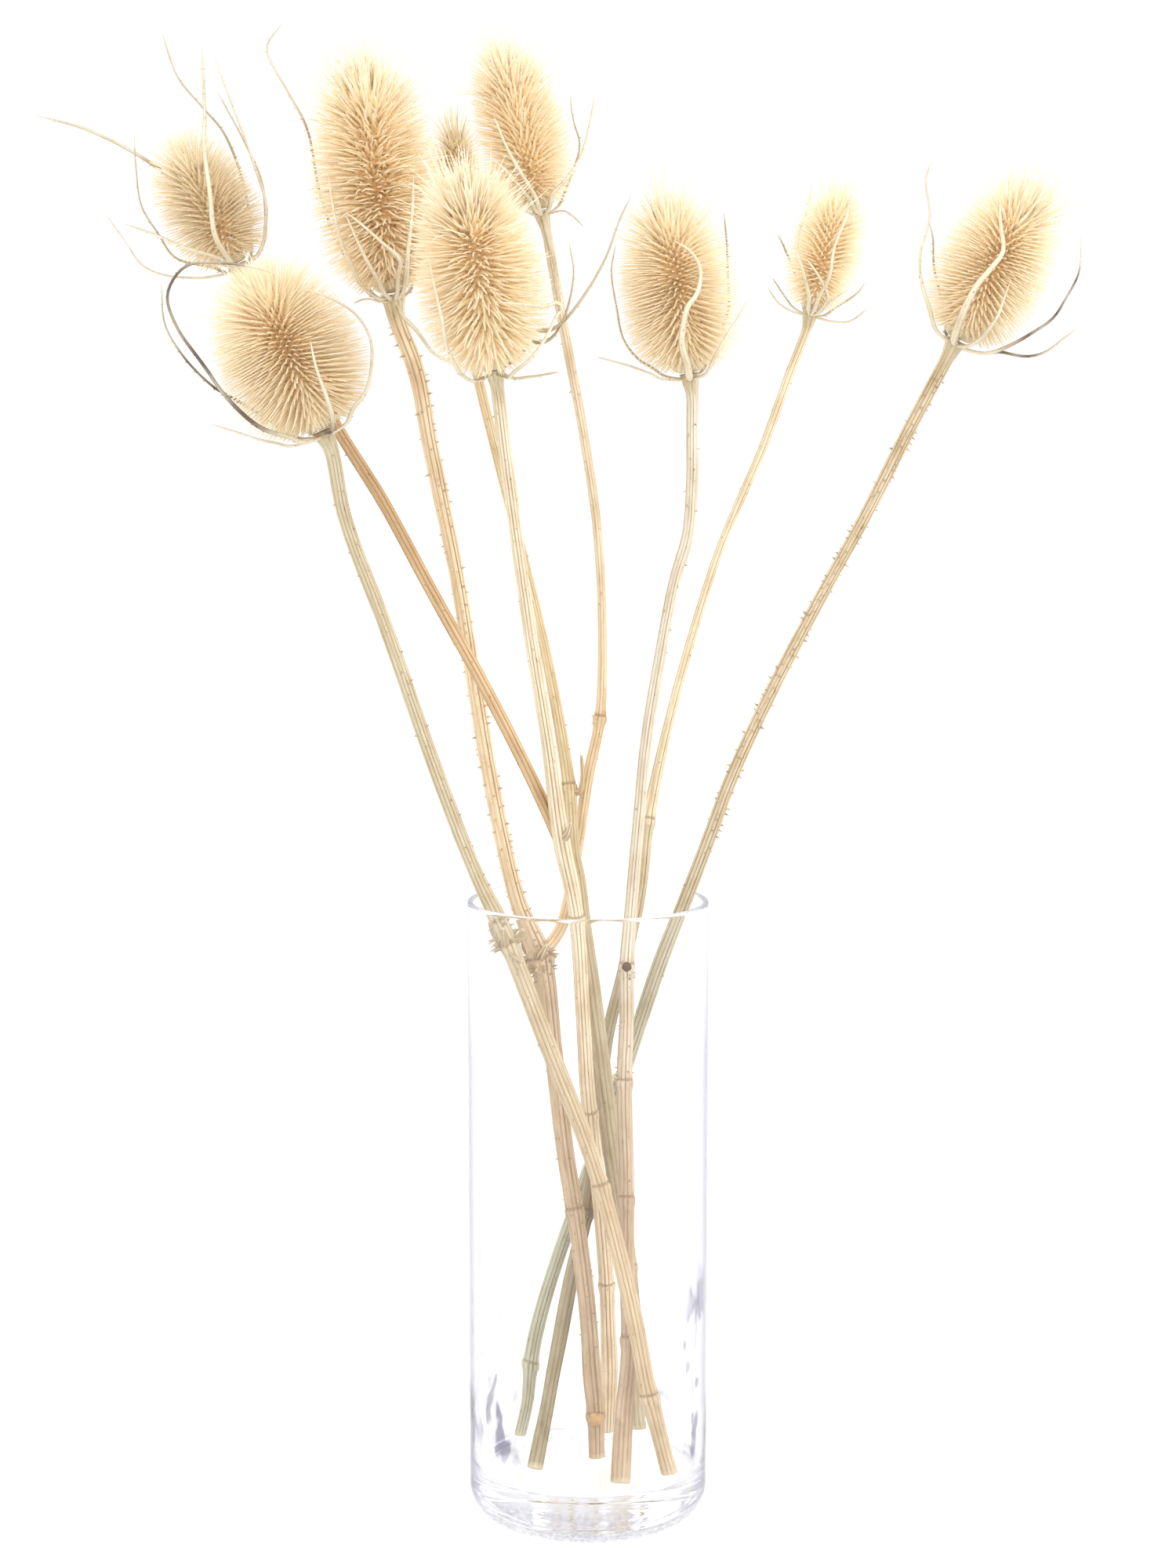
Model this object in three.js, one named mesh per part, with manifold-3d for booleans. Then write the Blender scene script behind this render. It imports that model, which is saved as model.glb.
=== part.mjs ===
// Dried teasels standing in a clear glass cylinder vase.
// Millimetres, +Z up. The origin is the centre of the vase's base, and the front faces -Y.

import * as THREE from 'three';
import { mergeVertices } from 'three/addons/utils/BufferGeometryUtils.js';
import Module from 'manifold-3d';

const wasm = await Module();
wasm.setup();

// Vase
const VASE_RADIUS = 50;
const VASE_HEIGHT = 264;
const VASE_WALL = 4;
const VASE_RIM = 2.6;
const VASE_FLOOR = 23.2;
const VASE_HEEL = 16;
const VASE_INNER_CORNER = 3;
const VASE_SIDES = 36;

// Stems
const STEM_SIDES = 8;
const STEM_RIB = 0.06;
const KNOT_HALF_HEIGHT = 5;
const NECK_LENGTH = 9;
const NECK_FLARE = 1.6;
const HEAD_GAP = 0.5;
const PRICKLE_LENGTH = 2.3;
const PRICKLE_RADIUS = 0.7;

// Heads: a core of tapered cells, each drawn out into one spine
const CORE_SHARE = 0.47;
const CORE_BOTTOM = 1.5;
const CORE_TOP_DROP = 17;
const FIRST_ROW = 0.1;
const LAST_ROW = 0.965;
const LOW_BULGE = 0.12;
const SPINE_SCATTER = 0.9;

// Bracts
const BRACT_CLEARANCE = 1.6;
const BRACT_ROOT_DEPTH = 2.6;
const BRACT_TIP_WIDTH = 0.9;
const BRACT_TIP_THICKNESS = 0.75;
const BRACT_STEP = 12;
const NECK_REACH = 6;
const WRAP_SOFTNESS = 60;

// One head: where its base sits, where its tip points, its radius over the spines, rows and columns
// of spines, and its bracts. A bract's course is drawn in the head's own upright plane, as
// [to the right of the axis, up the axis], and it wraps the front (1) or the back (-1) of the head.
// A low bract hangs under the head.
const HEADS = {
  head_far_left: {
    base: [-144.9, 28, 524.6], tip: [-170.2, 28, 577.3], radius: 21, rows: 12, columns: 18,
    bracts: [
      { side: 1, width: 2.2, course: [[-1, 4], [-1, 12], [5, 29], [12, 51], [21, 72], [26, 83]] },
      { side: 1, width: 2.0, course: [[16, 4], [22, 15], [25, 35], [27, 54], [29, 77]] },
      { side: -1, width: 2.0, course: [[15, 5], [24, 25], [25, 42], [24, 66]] },
      { side: 1, width: 2.2, course: [[-3, 3], [-15, 14], [-26, 26], [-34, 34]] },
      { side: -1, width: 1.8, course: [[-10, 3], [-22, 13], [-24, 25], [-25, 38], [-20, 53], [-15, 64]] },
      { side: 1, width: 1.8, course: [[-16, 1], [-28, 8], [-35, 16], [-37, 27], [-39, 40]] },
      { side: -1, width: 1.8, course: [[-2, 4], [-6, 28], [-14, 52], [-31, 75], [-47, 89]] },
      { side: -1, width: 1.6, course: [[8, 5], [14, 21], [19, 49], [16, 62], [12, 78], [14, 96]] },
    ],
  },
  head_left_front: {
    base: [-104.5, -45, 458.8], tip: [-132.1, -50, 523.9], radius: 29.5, rows: 13, columns: 18,
    bracts: [
      {
        side: 1, width: 2.6,
        course: [
          [-12, 4], [-20, 11], [-28, 27], [-33, 44], [-36, 60],
          [-34, 72], [-23, 79], [-8, 74], [6, 66], [12, 60],
        ],
      },
      { side: 1, width: 2.4, course: [[16, 4], [23, 8], [30, 19], [32, 27], [30, 38], [24, 47], [17, 54]] },
      { side: 1, width: 2.2, course: [[8, 6], [9, 13], [10, 25], [12, 35]] },
      { side: 1, width: 2.0, course: [[-18, 3], [-28, 10], [-39, 19]] },
      { side: -1, width: 1.8, course: [[-17, 6], [-33, 32], [-39, 49], [-40, 62], [-35, 76]] },
      { side: -1, width: 2.0, course: [[3, 5], [4, 20], [-1, 38]] },
      { side: -1, width: 1.8, course: [[-9, 4], [-13, 15], [-11, 29]] },
    ],
  },
  head_tall: {
    base: [-79.5, 11, 512.3], tip: [-91.8, 11, 605.7], radius: 27.5, rows: 15, columns: 18,
    bracts: [
      { side: 1, width: 2.2, course: [[-4, 5], [-8, 16], [-13, 33]] },
      { side: 1, width: 2.0, course: [[4, 5], [6, 12], [-1, 21], [-8, 29], [-13, 34]] },
      { side: 1, width: 2.6, course: [[7, 4], [10, 16], [14, 32], [16, 45]] },
      { side: 1, width: 2.0, course: [[-12, 6], [-17, 25], [-18, 43], [-18, 50]] },
      { side: 1, width: 1.8, low: true, course: [[-5, -3], [-10, -1], [-16, -2]] },
      { side: 1, width: 2.0, low: true, course: [[3, -10], [8, -17], [13, -26], [20, -31], [25, -33]] },
      {
        side: -1, width: 1.6,
        course: [[-11, 4], [-20, 21], [-25, 44], [-26, 71], [-31, 85], [-37, 104], [-30, 112]],
      },
      { side: -1, width: 2.0, course: [[9, 5], [17, 23], [20, 43]] },
    ],
  },
  head_small_hidden: {
    base: [-53.2, 64, 541.2], tip: [-57.3, 66, 590.1], radius: 12.5, rows: 10, columns: 16,
    bracts: [
      { side: -1, width: 1.8, course: [[-7, 4], [-13, 12], [-16, 26]] },
      { side: -1, width: 1.8, course: [[7, 4], [13, 14], [15, 26]] },
      { side: 1, width: 1.8, course: [[-3, 4], [-7, 13], [-5, 25]] },
      { side: -1, width: 1.8, course: [[0, 4], [1, 13], [0, 27]] },
    ],
  },
  head_centre_front: {
    base: [-36.6, -57, 483.7], tip: [-47.3, -88, 556], radius: 26, rows: 12, columns: 18,
    bracts: [
      { side: 1, width: 2.2, course: [[-13, 7], [-16, 20], [-16, 33], [-17, 48], [-17, 58]] },
      { side: 1, width: 2.2, course: [[8, 4], [16, 9], [26, 18], [30, 21], [22, 29], [14, 34], [5, 38]] },
      { side: 1, width: 1.8, low: true, course: [[8, -5], [15, -6], [25, -6]] },
      { side: -1, width: 2.0, course: [[15, 3], [23, 6], [29, 13], [36, 32], [36, 46]] },
      { side: -1, width: 2.0, course: [[13, 4], [28, 12], [38, 22], [49, 37], [56, 51], [62, 61]] },
      { side: -1, width: 2.0, course: [[-6, 6], [-13, 20], [-15, 36]] },
    ],
  },
  head_top_centre: {
    base: [-19.3, 24, 546.5], tip: [-36.7, 24, 614.2], radius: 19.5, rows: 12, columns: 18,
    bracts: [
      { side: 1, width: 2.0, course: [[-3, 4], [-10, 18], [-16, 27]] },
      { side: 1, width: 1.8, course: [[-8, 4], [-11, 11]] },
      { side: 1, width: 2.0, course: [[-1, 5], [-7, 26], [-9, 40]] },
      { side: 1, width: 2.2, course: [[6, 4], [14, 9], [21, 16], [27, 26], [33, 39]] },
      { side: -1, width: 1.8, course: [[11, 4], [22, 21], [22, 31], [23, 41]] },
      { side: 1, width: 1.8, low: true, course: [[9, -3], [12, -6], [15, -11]] },
      { side: 1, width: 1.8, low: true, course: [[0, -11], [0, -21], [-1, -31], [-3, -42]] },
      { side: -1, width: 2.0, course: [[-4, 4], [-7, 21], [-3, 37]] },
    ],
  },
  head_right_centre: {
    base: [40.1, -32, 480.9], tip: [30.1, -36, 551.8], radius: 24, rows: 13, columns: 18,
    bracts: [
      {
        side: 1, width: 2.6,
        course: [[-1, 5], [-2, 13], [0, 22], [2, 27], [6, 31], [8, 35], [9, 41], [6, 48], [0, 53]],
      },
      { side: -1, width: 1.8, course: [[-14, 3], [-19, 7], [-24, 16], [-25, 28], [-25, 44], [-22, 53]] },
      { side: 1, width: 2.0, course: [[10, 5], [15, 12], [23, 21], [26, 25]] },
      { side: -1, width: 1.8, course: [[10, 6], [19, 20], [21, 35], [22, 49], [22, 60]] },
      { side: 1, width: 1.8, course: [[-15, 2], [-23, 6], [-35, 11]] },
      { side: -1, width: 2.0, course: [[2, 5], [3, 16], [-1, 32]] },
    ],
  },
  head_small_right: {
    base: [95.6, 82, 505.9], tip: [109.3, 84, 561.9], radius: 16.5, rows: 10, columns: 16,
    bracts: [
      { side: 1, width: 1.8, course: [[-3, 4], [-9, 15], [-13, 22], [-14, 29], [-13, 39], [-13, 51]] },
      { side: -1, width: 1.6, course: [[-4, 5], [-12, 17], [-22, 28]] },
      { side: 1, width: 1.8, course: [[1, 5], [3, 14], [2, 27], [4, 41], [4, 51]] },
      { side: 1, width: 1.6, course: [[5, 6], [-2, 14], [-8, 19]] },
      { side: 1, width: 1.8, low: true, course: [[-7, -3], [-14, -1], [-20, 4]] },
      { side: -1, width: 1.8, course: [[-11, 2], [-19, 9]] },
      { side: -1, width: 1.8, course: [[10, 3], [18, 12], [20, 17]] },
      { side: 1, width: 1.6, course: [[6, 4], [12, 11]] },
      { side: 1, width: 1.8, low: true, course: [[8, -3], [17, -1], [23, 6]] },
    ],
  },
  head_far_right: {
    base: [146.8, -25, 494.1], tip: [177.8, -28, 556.7], radius: 23.5, rows: 12, columns: 18,
    bracts: [
      {
        side: 1, width: 2.6,
        course: [[-4, 5], [-5, 12], [-5, 22], [-3, 31], [-2, 38], [-7, 46], [-12, 56]],
      },
      { side: 1, width: 2.2, course: [[7, 5], [8, 14], [7, 21], [6, 28]] },
      { side: 1, width: 2.6, course: [[16, 3], [25, 15], [30, 24], [31, 33], [31, 44], [28, 52], [25, 57]] },
      { side: -1, width: 2.4, course: [[18, 3], [28, 6], [34, 11], [38, 19], [41, 25]] },
      {
        side: 1, width: 2.4,
        course: [[-15, 4], [-24, 14], [-29, 24], [-32, 38], [-40, 50], [-41, 57]],
      },
      { side: -1, width: 1.6, course: [[-6, 6], [-20, 21], [-26, 30], [-31, 36]] },
      { side: -1, width: 2.0, course: [[2, 5], [4, 20], [0, 36]] },
    ],
  },
};

// One stem: its courses from the cut end up, as [x, y, z, radius], each ending under its head.
// The first course is the stem, and the second is a branch that starts inside it. Knots are
// [z, extra radius], prickles are [from z, to z, how many], and stubs are short grown pieces.
const STEMS = {
  stem_left_front: {
    colour: 0xc9b78e,
    courses: [
      {
        head: 'head_left_front',
        points: [
          [33, -24, 26.3, 3], [25, -24, 59, 3.5], [16, -21, 105, 3.4], [2, -16, 157, 3.4],
          [-17, -11, 206, 3.6], [-34, -8, 250, 4.2], [-46.5, -12, 278, 2.9], [-63, -20, 324, 2.9],
          [-80.5, -30, 378, 2.8], [-96.5, -38, 424, 2.8],
        ],
        knots: [[59, 0.7], [146, 0.5], [246, 0.8]],
      },
    ],
    stubs: [
      [[-34, -8, 246, 1.9], [-29, -8, 249, 1.6], [-26.5, -9, 253, 0.7]],
      [[-34, -8, 246, 1.9], [-34, -14, 249, 1.6], [-34.5, -16.5, 255, 0.6]],
      [[-34, -8, 246, 1.9], [-38.5, -9, 251, 1.3], [-40.5, -8, 256, 0.6]],
      [[-34, -8, 246, 1.9], [-33, -2, 250, 1.5], [-34, 0, 255, 0.6]],
      [[-34, -8, 244, 1.7], [-30, -12, 242, 1.2], [-27, -13, 240, 0.6]],
    ],
    prickles: [[150, 240, 4], [300, 430, 6]],
  },
  stem_tall_forked: {
    colour: 0xc3ab7f,
    courses: [
      {
        head: 'head_tall',
        points: [
          [4, 3, 24.2, 3.7], [2, 5, 60, 3.7], [-3, 7, 111, 3.6], [-10, 7, 158, 3.7], [-15, 5, 202, 3.8],
          [-20, 3, 239, 4.8], [-29, 4, 262, 3.3], [-38, 6, 301, 3.2], [-47, 8, 353, 3.1], [-53.5, 9, 395, 3],
          [-64.5, 10, 450, 3.2], [-70, 11, 480, 3.4],
        ],
        knots: [[42, 0.8], [130, 0.5], [238, 1.2]],
      },
      {
        head: 'head_top_centre',
        points: [
          [-20, 3, 239, 2.8], [-11, 17, 250, 2.5], [-5, 27, 278, 2.3], [0, 30, 311, 2.3], [5, 29, 336, 2.2],
          [6, 27, 374, 1.8], [4, 26, 414, 1.9], [-1.5, 25, 453, 1.9], [-11, 24, 504, 2],
        ],
        knots: [[336, 0.8]],
      },
    ],
    stubs: [
      [[3, 4, 41, 3.2], [3.3, -1.8, 42, 2.9]],
      [[-20, 3, 238, 2.4], [-19, -3.8, 242, 1.8], [-17, -5.5, 246, 0.7]],
      [[-20, 3, 238, 2.2], [-26, 5, 242, 1.7], [-27.5, 7, 247, 0.7]],
    ],
    prickles: [[70, 230, 8], [230, 246, 3], [265, 490, 14]],
  },
  stem_centre_forked: {
    colour: 0xcdb98c,
    courses: [
      {
        head: 'head_centre_front',
        points: [
          [9.5, 36.5, 24.6, 3.3], [8, 23, 93, 3.3], [4, 14, 143, 3.2], [0, 7, 179, 3.2], [-2, 0, 213, 3],
          [-5, -9, 260, 3.1], [-11, -16, 292, 3.6], [-16, -24, 331, 2.8], [-22, -32, 370, 2.7],
          [-28.5, -42, 418, 2.6], [-32.5, -49, 450, 2.6],
        ],
        knots: [[93, 0.6], [171, 0.7], [257, 0.4]],
      },
      {
        head: 'head_far_left',
        points: [
          [-11, -16, 290, 2.7], [-21.5, -14, 313, 2.6], [-41, -8, 351, 2.6], [-63, -1, 390, 2.6],
          [-84, 6, 428, 2.6], [-103, 12, 458, 2.5], [-121, 20, 491, 2.4],
        ],
        knots: [],
      },
    ],
    stubs: [[[-11, -16, 291, 2.4], [-8, -20.5, 295, 1.4], [-7, -21.5, 299, 0.6]]],
    prickles: [[310, 450, 5]],
  },
  stem_centre_back: {
    colour: 0xd2be92,
    courses: [
      {
        head: 'head_small_hidden',
        points: [
          [22, 32, 27, 3.4], [20, 31, 73, 3.5], [17, 26, 106, 3.6], [13, 21, 134, 3.9], [9, 18, 162, 4.2],
          [6, 17, 186, 4.2], [1, 18, 225, 3.9], [-2, 17, 249, 3.4], [-4, 17, 270, 2.8], [-6, 17, 281, 2.7],
          [-8, 26, 307, 2.8], [-14, 32, 344, 2.4], [-21, 37, 377, 2.2], [-30, 43, 413, 2.1],
          [-40, 50, 452, 2.1], [-47, 55, 481, 2.1], [-51, 60, 511, 2.1],
        ],
        knots: [[100, 0.5], [307, 0.7]],
      },
    ],
    stubs: [[[-8, 26, 306, 1.8], [-3.6, 24.4, 305.5, 1.5], [-2.2, 24, 310, 1.2], [-2.8, 24, 321, 0.6]]],
    prickles: [[320, 500, 4]],
  },
  stem_right_centre: {
    colour: 0xc6b289,
    courses: [
      {
        head: 'head_right_centre',
        points: [
          [13, -32, 24.9, 3.9], [15, -20, 51, 3.8], [17, -13, 80, 3.5], [16, -8, 115, 3.1], [16, -4, 148, 3.1],
          [15, -1, 185, 3.3], [16, 0, 213, 3], [16, 0, 236, 3.1], [18, -1, 263, 2.6], [21, -5, 300, 2.5],
          [24, -10, 333, 2.4], [29, -15, 365, 2.4], [35, -20, 398, 2.4], [40, -23, 416, 2.4],
          [41.5, -26, 436, 2.4], [41.5, -29, 460, 2.4],
        ],
        knots: [[80, 0.6], [138, 0.6], [187, 0.7], [236, 0.5]],
      },
    ],
    stubs: [
      [[16, 0, 236, 2.3], [16, -4.9, 236.5, 2]],
      [[17, -13, 80, 2], [21, -14.5, 84, 1.3]],
      [[15, -1, 187, 1.8], [10.4, -2, 190, 1.1]],
    ],
    prickles: [[190, 235, 3], [420, 460, 3]],
  },
  stem_right_back: {
    colour: 0xd8c79c,
    courses: [
      {
        head: 'head_small_right',
        points: [
          [-22, -15, 25.3, 3], [-15, 4, 59, 3.2], [-8, 15, 95, 3.1], [-1, 23, 125, 3.1], [4, 28, 163, 2.9],
          [8, 31, 198, 2.7], [15, 33, 227, 2.5], [22, 35, 260, 2.4], [26, 44, 293, 2.6], [34.5, 52, 332, 2],
          [43, 58, 363, 1.9], [56.5, 66, 405, 1.8], [75, 73, 448, 1.8], [86, 78, 478, 1.9],
        ],
        knots: [[125, 0.8], [290, 0.7]],
      },
    ],
    stubs: [],
    prickles: [[300, 470, 4]],
  },
  stem_far_right: {
    colour: 0xb3a77f,
    courses: [
      {
        head: 'head_far_right',
        points: [
          [-30, 27, 26, 2.8], [-26, 31, 54, 3.2], [-17, 34, 90, 3], [-5, 36, 125, 3.1], [7, 36, 158, 3.1],
          [18, 31, 192, 3.1], [29.5, 20, 230, 3.2], [38.5, 8, 257, 3], [48.5, -2, 286, 2.8],
          [59, -7, 316, 2.7], [73.5, -11, 349, 2.6], [93, -14, 388, 2.5], [113, -18, 426, 2.5],
          [128, -21, 457, 2.6],
        ],
        knots: [[56, 0.9]],
      },
    ],
    stubs: [],
    prickles: [[320, 475, 13]],
  },
};

const HEAD_COLOUR = 0xd9c08c;
const GLASS_COLOUR = 0xeef1f6;

// Repeatable scatter between 0 and 1, one draw for each index and seed.
function scatter(index, seed) {
  const value = Math.sin(index * 127.1 + seed * 311.7) * 43758.5453;
  return value - Math.floor(value);
}

function vector(point) {
  return new THREE.Vector3(point[0], point[1], point[2]);
}

function geometryFrom(positions, triangles) {
  const geometry = new THREE.BufferGeometry();
  geometry.setAttribute('position', new THREE.Float32BufferAttribute(positions, 3));
  geometry.setIndex(triangles);
  return geometry;
}

function solidFrom(geometry) {
  const merged = mergeVertices(geometry, 1e-4);
  const solid = new wasm.Manifold(new wasm.Mesh({
    numProp: 3,
    vertProperties: Float32Array.from(merged.attributes.position.array),
    triVerts: Uint32Array.from(merged.index.array),
  }));
  return solid;
}

function geometryOf(solid) {
  const mesh = solid.getMesh();
  return geometryFrom(Array.from(mesh.vertProperties), Array.from(mesh.triVerts));
}

function named(name, geometry, material) {
  const mesh = new THREE.Mesh(geometry, material);
  mesh.name = name;
  return mesh;
}

// Rings of equally many points become one closed skin with flat ends.
function skin(rings) {
  const sides = rings[0].length;
  const positions = rings.flat().flatMap((point) => point.toArray());
  const triangles = [];
  for (let ring = 0; ring + 1 < rings.length; ring += 1) {
    for (let side = 0; side < sides; side += 1) {
      const a = ring * sides + side;
      const b = ring * sides + (side + 1) % sides;
      triangles.push(a, b, b + sides, a, b + sides, a + sides);
    }
  }
  const last = (rings.length - 1) * sides;
  for (let side = 1; side + 1 < sides; side += 1) {
    triangles.push(0, side + 1, side);
    triangles.push(last, last + side, last + side + 1);
  }
  return geometryFrom(positions, triangles);
}

// Carries one side direction along a path without twisting it.
function frames(path, firstNormal) {
  const normal = firstNormal.clone();
  return path.map((point, index) => {
    const before = path[Math.max(index - 1, 0)];
    const after = path[Math.min(index + 1, path.length - 1)];
    const tangent = after.clone().sub(before).normalize();
    normal.addScaledVector(tangent, -normal.dot(tangent)).normalize();
    return { point, normal: normal.clone(), across: tangent.clone().cross(normal) };
  });
}

// Round or ribbed stalk along a path.
function stalk(path, radii, sides, rib) {
  const rings = frames(path, new THREE.Vector3(1, 0.2, 0.1)).map((frame, index) => {
    const ring = [];
    for (let side = 0; side < sides; side += 1) {
      const angle = (side / sides) * 2 * Math.PI;
      const reach = radii[index] * (side % 2 === 0 ? 1 + rib : 1 - rib);
      ring.push(frame.point.clone()
        .addScaledVector(frame.normal, reach * Math.cos(angle))
        .addScaledVector(frame.across, reach * Math.sin(angle)));
    }
    return ring;
  });
  return skin(rings);
}

function headFrame(head) {
  const base = vector(head.base);
  const axis = vector(head.tip).sub(base);
  const length = axis.length();
  axis.normalize();
  const right = axis.clone().cross(new THREE.Vector3(0, -1, 0)).normalize();
  const front = right.clone().cross(axis);
  return { base, axis, right, front, length };
}

// Core and spine tips share one latitude, from 0 at the base to 1 at the top.
function corePoint(head, length, latitude) {
  const swell = Math.pow(Math.sin(Math.PI * latitude), 0.75);
  return {
    reach: CORE_SHARE * head.radius * swell,
    height: CORE_BOTTOM + (length - CORE_TOP_DROP) * (1 - Math.cos(Math.PI * latitude)) / 2,
  };
}

function tipPoint(head, length, latitude) {
  const swell = Math.pow(Math.sin(Math.PI * latitude), 0.6);
  return {
    reach: head.radius * swell * (1 + LOW_BULGE * Math.cos(Math.PI * latitude)),
    height: length * (1 - Math.cos(Math.PI * latitude)) / 2,
  };
}

function headGeometry(head, seed) {
  const { length } = headFrame(head);
  const { rows, columns } = head;
  const positions = [];
  const triangles = [];
  const place = (reach, height, turn) => {
    positions.push(reach * Math.cos(turn), reach * Math.sin(turn), height);
    return positions.length / 3 - 1;
  };
  const latitudeOf = (row) => FIRST_ROW + (LAST_ROW - FIRST_ROW) * (row / rows);
  const turnOf = (row, column) => ((column + (row % 2) / 2) / columns) * 2 * Math.PI;
  const lattice = [];
  for (let row = 0; row <= rows; row += 1) {
    const { reach, height } = corePoint(head, length, latitudeOf(row));
    const ring = [];
    for (let column = 0; column < columns; column += 1) {
      ring.push(place(reach, height, turnOf(row, column)));
    }
    lattice.push(ring);
  }
  const bottom = place(0, CORE_BOTTOM, 0);
  const top = place(0, length, 0);
  for (let row = 0; row <= rows; row += 1) {
    for (let column = 0; column < columns; column += 1) {
      const next = (column + 1) % columns;
      const across = row % 2 === 0 ? column : next;
      const left = lattice[row][column];
      const right = lattice[row][next];
      const below = row > 0 ? lattice[row - 1][across] : bottom;
      const above = row < rows ? lattice[row + 1][across] : top;
      if (row === 0) {
        triangles.push(below, right, left);
        triangles.push(left, right, above);
      } else if (row === rows) {
        triangles.push(left, right, above);
        triangles.push(left, below, right);
      } else {
        const tip = tipPoint(head, length, latitudeOf(row));
        const draw = row * columns + column;
        const apex = place(
          tip.reach - SPINE_SCATTER * scatter(draw, seed),
          tip.height + SPINE_SCATTER * (scatter(draw, seed + 1) - 0.5),
          turnOf(row, column + 0.5) + 0.05 * (scatter(draw, seed + 2) - 0.5),
        );
        triangles.push(left, below, apex, below, right, apex, right, above, apex, above, left, apex);
      }
    }
  }
  return geometryFrom(positions, triangles);
}

// How far a bract must stay from the head's axis at one height along it.
function bractReach(head, length, height) {
  const lowest = tipPoint(head, length, FIRST_ROW);
  const highest = tipPoint(head, length, LAST_ROW);
  if (height < -BRACT_CLEARANCE) return NECK_REACH;
  if (height < lowest.height) return lowest.reach + BRACT_CLEARANCE;
  if (height > highest.height) {
    return Math.max(0, (highest.reach + BRACT_CLEARANCE) * (1 - (height - highest.height) / 6));
  }
  const latitude = Math.acos(1 - (2 * height) / length) / Math.PI;
  return tipPoint(head, length, latitude).reach + BRACT_CLEARANCE;
}

function bractPath(head, bract) {
  const { base, axis, right, front, length } = headFrame(head);
  const flat = bract.course.map(([u, h]) => new THREE.Vector3(u, h, 0));
  const drawn = new THREE.CatmullRomCurve3(flat, false, 'centripetal');
  const steps = Math.max(2, Math.round(drawn.getLength() / BRACT_STEP));
  const wrapped = drawn.getSpacedPoints(steps).map(({ x: u, y: h }) => {
    const room = bractReach(head, length, h) ** 2 - u ** 2;
    return { u, h, depth: bract.side * Math.sqrt((room + Math.hypot(room, WRAP_SOFTNESS)) / 2) };
  });
  const turn = Math.atan2(wrapped[0].depth, wrapped[0].u);
  const lowest = tipPoint(head, length, FIRST_ROW);
  const leadIn = bract.low
    ? [[1.2, -BRACT_ROOT_DEPTH]]
    : [
      [1.2, -BRACT_ROOT_DEPTH],
      [0.5 * lowest.reach, -2],
      [lowest.reach, lowest.height - BRACT_CLEARANCE - 0.4],
    ];
  const started = leadIn.map(([reach, h]) => (
    { u: reach * Math.cos(turn), h, depth: reach * Math.sin(turn) }
  ));
  return [...started, ...wrapped].map(({ u, h, depth }) => base.clone()
    .addScaledVector(right, u)
    .addScaledVector(axis, h)
    .addScaledVector(front, depth));
}

// Keeled bract: flat towards the head, ridged outside, tapering to its tip.
function bractGeometry(head, bract) {
  const path = bractPath(head, bract);
  const { axis } = headFrame(head);
  const rings = frames(path, axis.clone().negate()).map((frame, index) => {
    const along = index / (path.length - 1);
    const width = THREE.MathUtils.lerp(bract.width, BRACT_TIP_WIDTH, along);
    const thickness = THREE.MathUtils.lerp(0.55 * bract.width, BRACT_TIP_THICKNESS, along);
    return [
      frame.point.clone().addScaledVector(frame.normal, thickness * 0.6),
      frame.point.clone()
        .addScaledVector(frame.across, width / 2)
        .addScaledVector(frame.normal, -thickness * 0.4),
      frame.point.clone()
        .addScaledVector(frame.across, -width / 2)
        .addScaledVector(frame.normal, -thickness * 0.4),
    ];
  });
  return skin(rings);
}

// The neck runs straight into the head's axis and flares under it.
function fullCourse(course) {
  const { base, axis } = headFrame(HEADS[course.head]);
  const radius = course.points[course.points.length - 1][3];
  const neck = [
    [NECK_LENGTH, radius],
    [BRACT_ROOT_DEPTH + 1.2, radius + NECK_FLARE * 0.6],
    [HEAD_GAP, radius + NECK_FLARE],
  ];
  const last = neck.map(([below, reach]) => (
    [...base.clone().addScaledVector(axis, -below).toArray(), reach]
  ));
  return [...course.points, ...last];
}

function pointAtHeight(curve, height) {
  let low = 0;
  let high = 1;
  for (let step = 0; step < 40; step += 1) {
    const middle = (low + high) / 2;
    if (curve.getPoint(middle).z < height) low = middle;
    else high = middle;
  }
  return curve.getPoint((low + high) / 2);
}

function radiusAtHeight(points, knots, height) {
  let index = 0;
  while (index + 2 < points.length && points[index + 1][2] < height) index += 1;
  const [from, to] = [points[index], points[index + 1]];
  const share = THREE.MathUtils.clamp((height - from[2]) / (to[2] - from[2]), 0, 1);
  const swelling = knots.reduce((sum, [z, extra]) => sum
    + extra * Math.max(0, 1 - Math.abs(height - z) / KNOT_HALF_HEIGHT), 0);
  return THREE.MathUtils.lerp(from[3], to[3], share) + swelling;
}

function courseCurve(points) {
  return new THREE.CatmullRomCurve3(points.map(vector), false, 'centripetal');
}

// Rings stand at the drawn points, where the stem bends, and at each knot.
function courseGeometry(course) {
  const points = fullCourse(course);
  const curve = courseCurve(points);
  const clearOfKnots = (height) => course.knots.every(([z]) => Math.abs(height - z) > 2 * KNOT_HALF_HEIGHT);
  const heights = points.map((point) => point[2])
    .filter((height, index) => index === 0 || clearOfKnots(height));
  for (const [z] of course.knots) {
    heights.push(z - KNOT_HALF_HEIGHT, z, z + KNOT_HALF_HEIGHT);
  }
  heights.sort((a, b) => a - b);
  const path = heights.map((height) => pointAtHeight(curve, height));
  const radii = heights.map((height) => radiusAtHeight(points, course.knots, height));
  return stalk(path, radii, STEM_SIDES, STEM_RIB);
}

function stubGeometry(points) {
  const curve = courseCurve(points);
  const pieces = points.length - 1;
  const path = points.map((point, index) => curve.getPoint(index / pieces));
  return stalk(path, points.map((point) => point[3]), 5, 0);
}

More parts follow.
